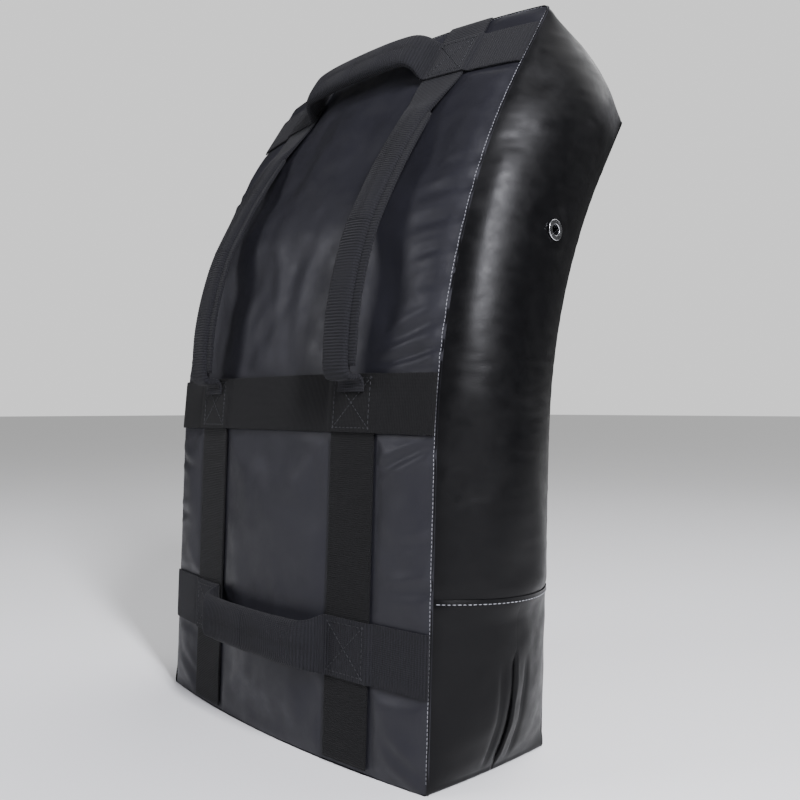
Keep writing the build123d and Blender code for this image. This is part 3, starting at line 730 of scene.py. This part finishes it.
def ring_points(side_count, corner_count, top_count, depth_count):
    """Grid of points of the gusset strip that runs up one side, over the top and down the other."""
    columns = []
    for v in np.linspace(0, 1, depth_count):
        place = outline(v, side_count, corner_count, top_count)
        inside = np.clip(place[:, 1], -HALF, HALF)
        d = (1 - v) * crown(inside) + v * (DEPTH + strike_crown(inside))
        columns.append(to_space(place[:, 0], place[:, 1], d))
    return np.stack(columns, axis=1)


def toe(z):
    """Share of the full side bulge at height z; it dies away at the base."""
    return 1 - (1 - np.clip(z / TOE_RISE, 0, 1)) ** 2.4


def boot_bulge(z):
    """Side bulge of the boot at height z: the side seam draws it in below the gusset."""
    return (SIDE_BULGE + (BOOT_BULGE - SIDE_BULGE) * smooth(SIDE_SEAM - z, 0, 0.024)) * toe(z)


def boot_points(low, side_end, base_end, side_count=60, base_count=60, depth_count=26):
    """Grid of a boot strip, down one side, under and up the other, with its free edge turned in.

    The strip runs in depth from low to side_end on the sides and to base_end beside the zip. The
    last columns are the turned-in edge. Also returns the depth fraction of every point.
    """
    half = [("side", f) for f in np.linspace(0, 1, side_count, endpoint=False)]
    half += [("turn", t) for t in np.linspace(0, 1, 6, endpoint=False)]
    half += [("base", g) for g in np.linspace(0, 1, base_count)]
    rows, depths = [], []
    for kind, share in half:
        under = kind == "base" and share > 0.085
        end = base_end if under else side_end
        v = np.linspace(low, end, depth_count)
        swell = 4 * v * (1 - v)
        floor_s = v * DEPTH * sin(LEAN) / cos(LEAN)
        corner_u = HALF + boot_bulge(0.004) * swell
        if kind == "side":
            s = SIDE_SEAM + (floor_s + 0.004 - SIDE_SEAM) * share
            u = HALF + boot_bulge(s - floor_s) * swell
        elif kind == "turn":
            s = floor_s + 0.004 * (1 - share) ** 2
            u = corner_u - 0.004 * share**2
        else:
            s = floor_s
            u = (corner_u - 0.004) * (1 - share)
        inside = np.clip(u, 0, HALF)
        point = to_space(s, u, (1 - v) * crown(inside) + v * (DEPTH + strike_crown(inside)))
        if kind == "base":
            point[:, 2] = 0.0003
        inward = np.array([0, 0, 0.0080]) if under else np.array([-0.0030 if kind == "side" else -0.001, 0, 0.0015])
        if kind == "side":
            shut = float(smooth(point[-1, 2], 0.092, 0.104))
            onward = point[-1] - point[-2]
            onward *= 0.004 / np.linalg.norm(onward)
            inward = inward * (1 - shut) + (onward + np.array([-0.0004, 0, 0])) * shut
        edge = point[-1] + inward * np.linspace(0.25, 1, 4)[:, None]
        rows.append(np.vstack([point, edge]))
        depths.append(np.concatenate([v, np.full(4, end)]))
    right, share = np.array(rows), np.array(depths)
    left = right[-2::-1] * np.array([-1, 1, 1])
    return np.concatenate([right, left]), np.concatenate([share, share[-2::-1]])


def build_holder_cover():
    rows, columns = 281, 157
    coarse_s, coarse_u = holder_grid(88, 50)
    points = to_space(coarse_s, coarse_u, crown(coarse_u))
    normal = facing(points, points + np.array([0, 1.0, 0]))
    edge = np.minimum(np.minimum(HALF - np.abs(coarse_u), PROFILE - coarse_s), coarse_s)
    held = np.where((edge < 0.005) | (strap_distance(coarse_s, coarse_u) < 0.003), 1.0, 0.0)
    puff = refined(blown("holder_sheet", points, normal, held, 0.012, 0.35, 0.004), rows, columns)
    s, u = holder_grid(rows, columns)
    edge = np.minimum(np.minimum(HALF - np.abs(u), PROFILE - s), s)
    height = holder_height(s, u) + puff * smooth(strap_distance(s, u), 0.0, 0.012) * smooth(edge, 0.0, 0.014)
    s, u = rounded_corners(s, u)
    cover = grid_object("holder_cover", to_space(s, u, crown(u) - height), material("holder_vinyl"))
    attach(cover, "root")
    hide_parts("holder_panel", "holder_foam")


def build_strike_cover():
    rows, columns = 231, 151
    low = DEPTH * sin(LEAN) / cos(LEAN) + 0.0006

    def grid(r, c):
        return np.meshgrid(np.linspace(low, PROFILE, r), np.linspace(-HALF, HALF, c), indexing="ij")

    coarse_s, coarse_u = grid(76, 50)
    points = to_space(coarse_s, coarse_u, DEPTH + strike_crown(coarse_u))
    normal = facing(points, points - np.array([0, 1.0, 0]))
    edge = np.minimum(np.minimum(HALF - np.abs(coarse_u), PROFILE - coarse_s), coarse_s - low)
    held = np.where(edge < 0.005, 1.0, 0.0)
    puff = refined(blown("strike_sheet", points, normal, held, 0.008, 0.25, 0.004), rows, columns)
    s, u = grid(rows, columns)
    edge = np.minimum(np.minimum(HALF - np.abs(u), PROFILE - s), s - low + 0.003)
    place = np.stack([s, u, 0 * s], axis=-1)
    gather = np.exp(-edge / 0.018) * np.sin(2 * pi * s / 0.026 + 3 * ripple(place, 0.07, 11)) * sizes().pucker
    dents = 0.0008 * ripple(place, 0.11, 12) + 0.00015 * ripple(place, 0.03, 13)
    height = puff * smooth(edge, 0, 0.014) + gather * 0.6 * smooth(edge, 0, 0.007) + dents * smooth(edge, 0, 0.02) - seam_groove(edge)
    s, u = rounded_corners(s, u)
    cover = grid_object("strike_cover", to_space(s, u, DEPTH + strike_crown(u) + height)[:, ::-1], material("strike_leathercloth"))
    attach(cover, "root")
    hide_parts("strike_panel", "strike_foam")


def ring_finish(points, seed, depths):
    """Adds seam grooves, gathers and slack to a gusset grid, along its outward normals."""
    centre = to_space(np.full(points.shape[:2], 0.35), 0.0, DEPTH / 2)
    normal = facing(points, centre)
    from_seam = np.minimum(depths, 1 - depths)[None, :] * DEPTH
    along = np.cumsum(np.linalg.norm(np.diff(points[:, points.shape[1] // 2], axis=0, prepend=points[:1, points.shape[1] // 2]), axis=1))[:, None]
    gather = np.exp(-from_seam / 0.014) * np.sin(2 * pi * along / 0.019 + 2.5 * ripple(points, 0.05, seed)) * sizes().pucker * 0.07
    slack = 0.0005 * ripple(points, 0.110, seed + 1) + 0.00012 * ripple(points * np.array([1, 0.4, 2.0]), 0.012, seed + 2)
    height = (gather + slack) * smooth(from_seam, 0.0, 0.008) - seam_groove(from_seam)
    return points + normal * height[..., None], normal


def build_gusset_cover():
    counts = (184, 26, 64, 51)
    coarse_counts = (60, 9, 21, 17)
    coarse = ring_points(*coarse_counts)
    centre = to_space(np.full(coarse.shape[:2], 0.35), 0.0, DEPTH / 2)
    held = np.zeros(coarse.shape[:2])
    held[:, (0, -1)] = 1.0
    held[(0, -1), :] = 1.0
    puff = refined(blown("gusset_sheet", coarse, facing(coarse, centre), held, 0.010, 0.30, 0.003), 2 * sum(counts[:3]) - 1, counts[3])
    points, normal = ring_finish(ring_points(*counts), 21, np.linspace(0, 1, counts[3]))
    eyelets = [Vector([(a + b) / 2 for a, b in zip(*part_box(f"{hand}_eyelet"))]) for hand in ("right", "left")]
    near = np.min([np.linalg.norm(points - np.array(e), axis=-1) for e in eyelets], axis=0)
    depths = np.linspace(0, 1, counts[3])[None, :]
    held_down = smooth(near, 0.012, 0.030) * smooth(np.minimum(depths, 1 - depths) * DEPTH, 0, 0.014)
    points = points + normal * (puff * held_down)[..., None]
    edge_rows = np.minimum(np.arange(points.shape[0]), np.arange(points.shape[0])[::-1]) * 0.003
    points = points - normal * seam_groove(edge_rows + 0.0005)[:, None, None]
    cover = grid_object("gusset_cover", points, material("gusset_leathercloth"))
    shell = bmesh.new()
    shell.from_mesh(cover.data)
    holes = [f for f in shell.faces if min((f.calc_center_median() - e).length for e in eyelets) < 0.0068]
    bmesh.ops.delete(shell, geom=holes, context="FACES")
    bmesh.ops.recalc_face_normals(shell, faces=shell.faces)
    shell.to_mesh(cover.data)
    shell.free()
    outwards(cover)
    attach(cover, "root")
    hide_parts("right_gusset", "left_gusset", "top_gusset", "core_foam")


def outwards(obj):
    """Turns an open sheet's faces so that they point away from the pad's middle."""
    middle = Vector([float(c) for c in to_space(0.33, 0.0, DEPTH / 2)])
    mesh = obj.data
    votes = sum(1 if (f.center - middle).dot(f.normal) > 0 else -1 for f in mesh.polygons)
    if votes < 0:
        mesh.flip_normals()


def build_boot():
    middle = 0.5
    strips = (
        ("boot_back", 0.0, middle, PLACKET_LOW, ("boot_back_strip", "left_zip_flap")),
        ("boot_front", 1.0, middle, PLACKET_HIGH, ("boot_front_strip", "right_zip_flap")),
    )
    for name, low, side_end, base_end, nodes in strips:
        points, depth = boot_points(low, side_end, base_end)
        centre = to_space(np.full(points.shape[:2], 0.10), 0.0, DEPTH / 2)
        normal = facing(points, centre)
        z = points[..., 2]
        on_side = smooth(z, 0.004, 0.020)
        opening = 1 - smooth(z, 0.090, 0.104)
        from_seam = np.minimum(depth, 1 - depth) * DEPTH
        top_edge = np.maximum(SIDE_SEAM - z, 0)
        welt = sum(np.exp(-(((depth - place) * DEPTH / 0.0026) ** 2)) for place in (PLACKET_LOW + 0.03, PLACKET_HIGH - 0.03))
        near_zip = np.exp(-np.abs(depth - middle) * DEPTH / 0.005)
        lip = 0.0016 * near_zip if name == "boot_front" else -0.0030 * near_zip**2
        slack = 0.0008 * ripple(points, 0.05, 33) + 0.0004 * ripple(points, 0.018, 34)
        height = on_side * (slack * smooth(from_seam, 0, 0.01) * smooth(top_edge, 0.003, 0.016) - 0.0018 * welt * (1 - smooth(z, 0.080, 0.100)) + lip * opening)
        height = height - seam_groove(from_seam) * on_side - seam_groove(top_edge + 0.0008)
        points = points + normal * height[..., None]
        strip = grid_object(name, points, material("gusset_leathercloth"))
        outwards(strip)
        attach(strip, "root")
        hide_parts(*nodes)


# ------------------------------------------------------------------ straps and grips
SECTION_POINTS = 44


def webbing_piece(name, controls, side_of, finish, rib_pitch=0.0, body="root", step=0.003):
    """A length of webbing through control rows (s, u, h, width, thickness, squareness).

    side_of gives the width direction at a place (s, u). Ribs are raised where rib_pitch is set.
    """
    rows = np.array([[*on_pad(s, u, h), width, thickness, power, s, u] for s, u, h, width, thickness, power in controls])
    if rib_pitch:
        step = rib_pitch / 6
    rows = spline(rows, step)
    centres = rows[:, :3]
    sides = np.array([side_of(s, u) for s, u in rows[:, 6:8]])
    travel = np.concatenate([[0], np.cumsum(np.linalg.norm(np.diff(centres, axis=0), axis=1))])
    sections = []
    for length, (width, thickness, power) in zip(travel, rows[:, 3:6]):
        x, y = rounded_section(width, thickness, max(power, 2.0), SECTION_POINTS)
        if rib_pitch:
            puffed = float(smooth(thickness, 0.004, 0.008))
            y = y * (1 + puffed * 0.035 * sin(2 * pi * length / rib_pitch))
        sections.append((x, y))
    piece = sweep(name, centres, sides, sections, material(finish))
    return piece


def across_pad(s, u):
    """Direction across the pad, along its crown."""
    return (on_pad(s, u + 0.001, 0) - on_pad(s, u - 0.001, 0)).normalized()


def up_pad(s, u):
    """Direction up the pad, along its curve."""
    return (on_pad(s + 0.001, u, 0) - on_pad(s - 0.001, u, 0)).normalized()


def flat_row(s, u, lift=0.0, width=WEB, thickness=WEB_THICK):
    """Control row of a strap that lies flat on the panel."""
    return (s, u, WEB_THICK / 2 + 0.0003 + lift - seam_drop(s, u), width, thickness, 9.0)


def finish_webbing(piece, body, slot_name, *nodes):
    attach(piece, body)
    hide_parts(*nodes)


def build_flat_straps():
    for hand, name in ((1, "right"), (-1, "left")):
        u = hand * STRAP_U
        rows = [flat_row(s, u) for s in (0.0045, 0.012, 0.03, 0.06, 0.10, 0.14, 0.18, 0.22, 0.25, 0.28, 0.305, 0.324)]
        piece = webbing_piece(f"{name}_lower_webbing", rows, across_pad, "strap_webbing")
        finish_webbing(piece, "root", "strap_webbing", f"{name}_lower_strap")
    rows = []
    for u in np.linspace(-HALF + 0.0015, HALF - 0.0015, 61):
        over = float(1 - smooth(abs(abs(u) - STRAP_U), WEB / 2 + 0.0005, WEB / 2 + 0.005))
        rows.append(flat_row(MIDDLE_S, u, 0.0022 * over))
    piece = webbing_piece("middle_webbing", rows, up_pad, "strap_webbing")
    finish_webbing(piece, "root", "strap_webbing", "middle_strap")


def build_cross_grips():
    size = sizes()
    for centre, name in ((BOTTOM_S, "bottom"), (TOP_S, "top")):
        for hand, side in ((1, "right"), (-1, "left")):
            rows = []
            for u in (HALF - 0.0015, 0.188, 0.178, 0.160, 0.145, 0.138, 0.133, 0.128, 0.120, 0.108, 0.098, 0.090):
                over = float(1 - smooth(abs(u - STRAP_U), WEB / 2 + 0.0005, WEB / 2 + 0.005))
                rows.append(flat_row(centre, hand * u, 0.0022 * over))
            rows += [
                (centre, hand * 0.0845, 0.0052, 0.0500, 0.0030, 8.0),
                (centre, hand * 0.0825, 0.0100, 0.0480, 0.0045, 5.0),
                (centre, hand * 0.0800, 0.0165, 0.0440, 0.0075, 3.6),
                (centre, hand * 0.0740, 0.0215, 0.0405, 0.0105, 3.0),
                (centre, hand * 0.0640, 0.0232, 0.0395, 0.0125, 2.8),
                (centre, hand * 0.0420, 0.0240, 0.0390, 0.0130, 2.8),
                (centre, hand * 0.0200, 0.0242, 0.0385, 0.0130, 2.8),
                (centre, 0.0, 0.0242, 0.0385, 0.0130, 2.8),
            ]
            piece = webbing_piece(f"{name}_grip_{side}_half", rows, up_pad, "grip_webbing", size.grip_rib_pitch)
            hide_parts(f"{name}_strap_{side}", f"{name}_grip_{side}_tab", f"{name}_grip_sleeve", f"{name}_grip_foam")
            tuple(on_pad(centre, hand * 0.086, 0.003))
            tuple(on_pad(centre, hand * 0.070, 0.020))
            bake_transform(piece)


def build_arm_grips():
    size = sizes()
    span = ARM_HEAD - ARM_FOOT
    middle = ARM_FOOT + 0.5 * span
    for hand, name in ((1, "right"), (-1, "left")):
        u = hand * STRAP_U
        lower = [
            (0.3120, u, 0.0062, 0.0300, 0.0025, 8.0),
            (0.3190, u, 0.0066, 0.0290, 0.0030, 8.0),
            (0.3235, u, 0.0100, 0.0280, 0.0055, 5.0),
            (0.3230, u, 0.0165, 0.0275, 0.0075, 4.0),
            (0.3235, u, 0.0215, 0.0275, 0.0085, 4.0),
            (0.3290, u, 0.0240, 0.0275, 0.0100, 3.6),
            (0.3430, u, 0.0255, 0.0275, 0.0110, 3.4),
            (0.3700, u, 0.0280, 0.0275, 0.0112, 3.4),
            (0.4000, u, 0.0286, 0.0275, 0.0112, 3.4),
            (0.4300, u, 0.0278, 0.0275, 0.0112, 3.4),
            (middle, u, 0.0262, 0.0275, 0.0112, 3.4),
        ]
        upper = [
            (middle, u, 0.0262, 0.0275, 0.0112, 3.4),
            (0.4700, u, 0.0232, 0.0275, 0.0112, 3.4),
            (0.5000, u, 0.0190, 0.0280, 0.0110, 3.4),
            (0.5300, u, 0.0145, 0.0285, 0.0105, 3.4),
            (0.5550, u, 0.0108, 0.0290, 0.0095, 3.4),
            (0.5720, u, 0.0085, 0.0310, 0.0075, 3.6),
            (0.5830, u, 0.0062, 0.0350, 0.0050, 4.5),
            (0.5960, u, 0.0042, 0.0410, 0.0032, 6.0),
            (0.6100, u, 0.0024, 0.0470, 0.0024, 8.0),
            flat_row(0.6220, u),
            flat_row(0.6400, u),
            flat_row(0.6600, u),
            flat_row(0.6800, u),
            flat_row(0.6920, u),
            flat_row(0.6985, u),
        ]
        halves = (
            ("lower", lower, (f"{name}_arm_grip_tab", f"{name}_arm_grip_sleeve", f"{name}_arm_grip_foam"), (0.3215, 0.008), (0.3300, 0.022)),
            ("upper", upper, (f"{name}_upper_strap", f"{name}_arm_grip_sleeve", f"{name}_arm_grip_foam"), (0.6150, 0.002), (0.5680, 0.009)),
        )
        for part, rows, nodes, start, end in halves:
            piece = webbing_piece(f"{name}_arm_grip_{part}", rows, across_pad, "grip_webbing", size.grip_rib_pitch)
            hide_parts(*nodes)
            tuple(on_pad(start[0], u, start[1]))
            tuple(on_pad(end[0], u, end[1]))
            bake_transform(piece)
        lip_u = u + 0.0165
        lip = [(s, lip_u, h - 0.001, w, 0.0032, 5.0) for s, h, w in (
            (0.3300, 0.0235, 0.0060), (0.3430, 0.0255, 0.0100), (0.3700, 0.0280, 0.0105), (0.4000, 0.0286, 0.0105),
            (0.4300, 0.0278, 0.0100), (middle, 0.0262, 0.0100), (0.4700, 0.0232, 0.0095), (0.5000, 0.0190, 0.0095),
            (0.5300, 0.0145, 0.0090), (0.5550, 0.0108, 0.0070), (0.5680, 0.0090, 0.0040),
        )]
        edge = webbing_piece(f"{name}_arm_grip_edge", lip, across_pad, "grip_webbing", 0.0)
        finish_webbing(edge, f"{name}_arm_grip", "grip_webbing")


# ------------------------------------------------------------------ stitches, zip and carried-over parts
def box_stitch(s, u, half, lift):
    """Lines of a sewn square with a cross in it, on the webbing at a crossing."""
    corners = [(s - half, u - half), (s - half, u + half), (s + half, u + half), (s + half, u - half)]
    legs = list(zip(corners, corners[1:] + corners[:1])) + [(corners[0], corners[2]), (corners[1], corners[3])]
    return [[on_pad(a + (c - a) * t, b + (d - b) * t, lift) for t in np.linspace(0, 1, 12)] for (a, b), (c, d) in legs]


def build_stitches():
    size = sizes()
    tree = stitch_tree()
    over = 2 * WEB_THICK + 0.0008
    boxes = []
    for hand in (1, -1):
        for s in (BOTTOM_S, MIDDLE_S, TOP_S):
            boxes += box_stitch(s, hand * STRAP_U, 0.0205, over)
    strap_sewing = along_lines("strap_stitches", boxes, tree, material("dark_nylon_thread"), Pitch=size.stitch_pitch, Length=size.stitch_length, Thread=size.thread)
    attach(strap_sewing, "root")
    seams = []
    for hand in (1, -1):
        u = hand * (HALF - 0.0022)
        seams.append([on_pad(s, u, float(holder_height(np.array([s]), np.array([u]))[0]) + 0.0001) for s in np.linspace(0.01, 0.690, 180)])
    s = PROFILE - 0.0022
    seams.append([on_pad(s, u, float(holder_height(np.array([s]), np.array([u]))[0]) + 0.0001) for u in np.linspace(-HALF + 0.010, HALF - 0.010, 90)])
    pale = size.thread * 0.7
    seam_sewing = along_lines("seam_stitches", seams, tree, material("pale_nylon_thread"), Pitch=size.stitch_pitch * 0.8, Length=size.stitch_length * 0.8, Thread=pale)
    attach(seam_sewing, "root")
    sides = []
    for hand in (1, -1):
        for s in (SIDE_SEAM - 0.0035,):
            line = []
            for v in np.linspace(0.03, 0.97, 50):
                bulge = boot_bulge(s) * 4 * v * (1 - v)
                sunk = seam_groove(SIDE_SEAM - s + 0.0008) + seam_groove(min(v, 1 - v) * DEPTH)
                line.append(Vector([float(c) for c in to_space(s, hand * (HALF + bulge - sunk + 0.0002), v * DEPTH)]))
            sides.append(line)
    side_sewing = along_lines("side_seam_stitches", sides, tree, material("pale_nylon_thread"), Pitch=size.stitch_pitch, Length=size.stitch_length, Thread=size.thread)
    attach(side_sewing, "root")


def build_zip():
    tree = coil_tree()
    for name, hand in (("back", -1), ("front", 1)):
        low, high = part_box(f"zip_coil_{name}")
        y = (low[1] + high[1]) / 2 - hand * 0.00015
        z = (low[2] + high[2]) / 2
        shift = 0.00085 if hand > 0 else 0.0
        line = [(x + shift, y, z) for x in np.linspace(low[0] + 0.002, high[0] - 0.003, 40)]
        coil = along_lines(f"zip_coil_{name}_teeth", [line], tree, material("coil_nylon"), Reach=high[1] - low[1] + 0.0012, Rise=high[2] - low[2])
        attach(coil, "root")
        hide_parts(f"zip_coil_{name}")


def dress_cad_parts():
    finishes = {
        "zip_tape_weave": ("zip_tape_back", "zip_tape_front"),
        "black_enamel": ("zip_stops", "zip_slider", "zip_pull"),
        "nickel_plate": ("right_eyelet", "left_eyelet", "right_eyelet_washer", "left_eyelet_washer"),
        "cut_foam": ("holder_foam", "core_foam", "strike_foam"),
    }
    for finish, names in finishes.items():
        for name in names:
            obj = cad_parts[name]
            if not obj.material_slots:
                obj.data.materials.append(None)
            for place in obj.material_slots:
                place.material = material(finish)


# ------------------------------------------------------------------ stage
def build_stage():
    bpy.ops.mesh.primitive_plane_add(size=60, location=(0, 0, 0))
    floor = bpy.context.object
    floor.name = "studio_floor"
    surface, tree = new_material("studio_floor")
    place = node(tree, "ShaderNodeTexCoord").outputs["Object"]
    cloud = node(tree, "ShaderNodeTexNoise", {"Vector": place, "Scale": 2.0})
    tint = colour_mix(tree, cloud.outputs["Fac"], shade(rgba("floor"), 0.98), rgba("floor"))
    finish_material(tree, node(tree, "ShaderNodeBsdfPrincipled", {"Base Color": tint, "Roughness": 0.7}))
    floor.data.materials.append(surface)
    world = bpy.data.worlds.new("studio_world")
    world.use_nodes = True
    sky = world.node_tree
    sky.nodes.clear()
    rays = node(sky, "ShaderNodeLightPath")
    brightness = node(sky, "ShaderNodeMapRange", {"Value": rays.outputs["Is Camera Ray"], "To Min": 0.06, "To Max": 1.05})
    glow = node(sky, "ShaderNodeBackground", {"Color": (1.0, 1.0, 1.0, 1.0), "Strength": brightness.outputs[0]})
    node(sky, "ShaderNodeOutputWorld", {"Surface": glow.outputs[0]})
    bpy.context.scene.world = world
    lights = (  # name, place, aim, width, height, power
        ("key_softbox", (-1.1, -1.7, 1.15), (0.0, 0.05, 0.35), 0.8, 0.8, 25.0),
        ("side_strip", (1.70, -0.48, 1.45), (0.2, 0.05, 0.55), 0.18, 1.2, 100.0),
        ("top_softbox", (0.2, 1.6, 1.6), (0.0, 0.1, 0.3), 1.4, 1.4, 4.0),
    )
    sun = bpy.data.lights.new("ceiling_light", "SUN")
    sun.energy = 1.9
    sun.angle = radians(60)
    ceiling = bpy.data.objects.new("ceiling_light", sun)
    ceiling.rotation_euler = (radians(-38), 0.0, 0.0)
    bpy.context.collection.objects.link(ceiling)
    for name, place, aim, width, height, power in lights:
        lamp = bpy.data.lights.new(name, "AREA")
        lamp.shape = "RECTANGLE"
        lamp.size = width
        lamp.size_y = height
        lamp.energy = power
        lamp.color = (0.93, 0.93, 1.0)
        obj = bpy.data.objects.new(name, lamp)
        obj.location = place
        obj.rotation_euler = (Vector(aim) - Vector(place)).to_track_quat("-Z", "Y").to_euler()
        bpy.context.collection.objects.link(obj)
    camera = bpy.data.cameras.new("camera")
    camera.sensor_width = 36.0
    camera.lens = 38.83
    eye = bpy.data.objects.new("camera", camera)
    eye.location = (0.664, -0.473, 0.300)
    eye.rotation_euler = (radians(90 + 0.51), 0.0, radians(46.6))
    bpy.context.collection.objects.link(eye)
    bpy.context.scene.camera = eye


# ------------------------------------------------------------------ add-on
class BuildOperator:
    """Shared part of the operators that build one group of pieces."""

    bl_options = {"REGISTER", "UNDO"}

    def execute(self, context):
        type(self).build()
        return {"FINISHED"}


class SHIELD_OT_stage(BuildOperator, bpy.types.Operator):
    """Adds the floor, the soft lights and the camera"""

    bl_idname = "shield.stage"
    bl_label = "Stage"
    build = staticmethod(build_stage)


class SHIELD_OT_holder_cover(BuildOperator, bpy.types.Operator):
    """Builds the large panel that the holder faces, with its folds and swelling"""

    bl_idname = "shield.holder_cover"
    bl_label = "Holder cover"
    build = staticmethod(build_holder_cover)


class SHIELD_OT_strike_cover(BuildOperator, bpy.types.Operator):
    """Builds the large panel that is struck, with its plain band"""

    bl_idname = "shield.strike_cover"
    bl_label = "Strike cover"
    build = staticmethod(build_strike_cover)


class SHIELD_OT_gusset_cover(BuildOperator, bpy.types.Operator):
    """Builds the gusset strip round the sides and the top"""

    bl_idname = "shield.gusset_cover"
    bl_label = "Gusset cover"
    build = staticmethod(build_gusset_cover)


class SHIELD_OT_boot(BuildOperator, bpy.types.Operator):
    """Builds the boot round the base, with the placket over its zip"""

    bl_idname = "shield.boot"
    bl_label = "Boot"
    build = staticmethod(build_boot)


class SHIELD_OT_flat_straps(BuildOperator, bpy.types.Operator):
    """Builds the straps that are sewn flat on the holder panel"""

    bl_idname = "shield.flat_straps"
    bl_label = "Flat straps"
    build = staticmethod(build_flat_straps)


class SHIELD_OT_cross_grips(BuildOperator, bpy.types.Operator):
    """Builds the top and bottom grips with the straps they are part of"""

    bl_idname = "shield.cross_grips"
    bl_label = "Cross grips"
    build = staticmethod(build_cross_grips)


class SHIELD_OT_arm_grips(BuildOperator, bpy.types.Operator):
    """Builds the two upright arm grips with their necks and upper straps"""

    bl_idname = "shield.arm_grips"
    bl_label = "Arm grips"
    build = staticmethod(build_arm_grips)


class SHIELD_OT_stitches(BuildOperator, bpy.types.Operator):
    """Builds the rows of stitches on straps and seams"""

    bl_idname = "shield.stitches"
    bl_label = "Stitches"
    build = staticmethod(build_stitches)


class SHIELD_OT_zip(BuildOperator, bpy.types.Operator):
    """Builds the zip's two coils"""

    bl_idname = "shield.zip"
    bl_label = "Zip"
    build = staticmethod(build_zip)


class SHIELD_OT_finishes(BuildOperator, bpy.types.Operator):
    """Gives the carried-over parts their finishes"""

    bl_idname = "shield.finishes"
    bl_label = "Finishes"
    build = staticmethod(dress_cad_parts)


OPERATORS = (
    SHIELD_OT_stage,
    SHIELD_OT_holder_cover,
    SHIELD_OT_strike_cover,
    SHIELD_OT_gusset_cover,
    SHIELD_OT_boot,
    SHIELD_OT_flat_straps,
    SHIELD_OT_cross_grips,
    SHIELD_OT_arm_grips,
    SHIELD_OT_stitches,
    SHIELD_OT_zip,
    SHIELD_OT_finishes,
)


class SHIELD_PT_panel(bpy.types.Panel):
    """Lists the sizes, colours and operators"""

    bl_label = "Kick shield"
    bl_space_type = "VIEW_3D"
    bl_region_type = "UI"
    bl_category = "Kick shield"

    def draw(self, context):
        for group in (context.scene.shield_sizes, context.scene.shield_colours):
            for name in group.__annotations__:
                self.layout.prop(group, name)
        for operator in OPERATORS:
            self.layout.operator(operator.bl_idname)


CLASSES = (ShieldSizes, ShieldColours, *OPERATORS, SHIELD_PT_panel)


def register():
    for cls in CLASSES:
        bpy.utils.register_class(cls)
    bpy.types.Scene.shield_sizes = PointerProperty(type=ShieldSizes)
    bpy.types.Scene.shield_colours = PointerProperty(type=ShieldColours)


def unregister():
    del bpy.types.Scene.shield_colours
    del bpy.types.Scene.shield_sizes
    for cls in reversed(CLASSES):
        bpy.utils.unregister_class(cls)


def main():
    register()
    for operator in OPERATORS:
        group, action = operator.bl_idname.split(".")
        getattr(getattr(bpy.ops, group), action)()


if __name__ == "__main__":
    main()
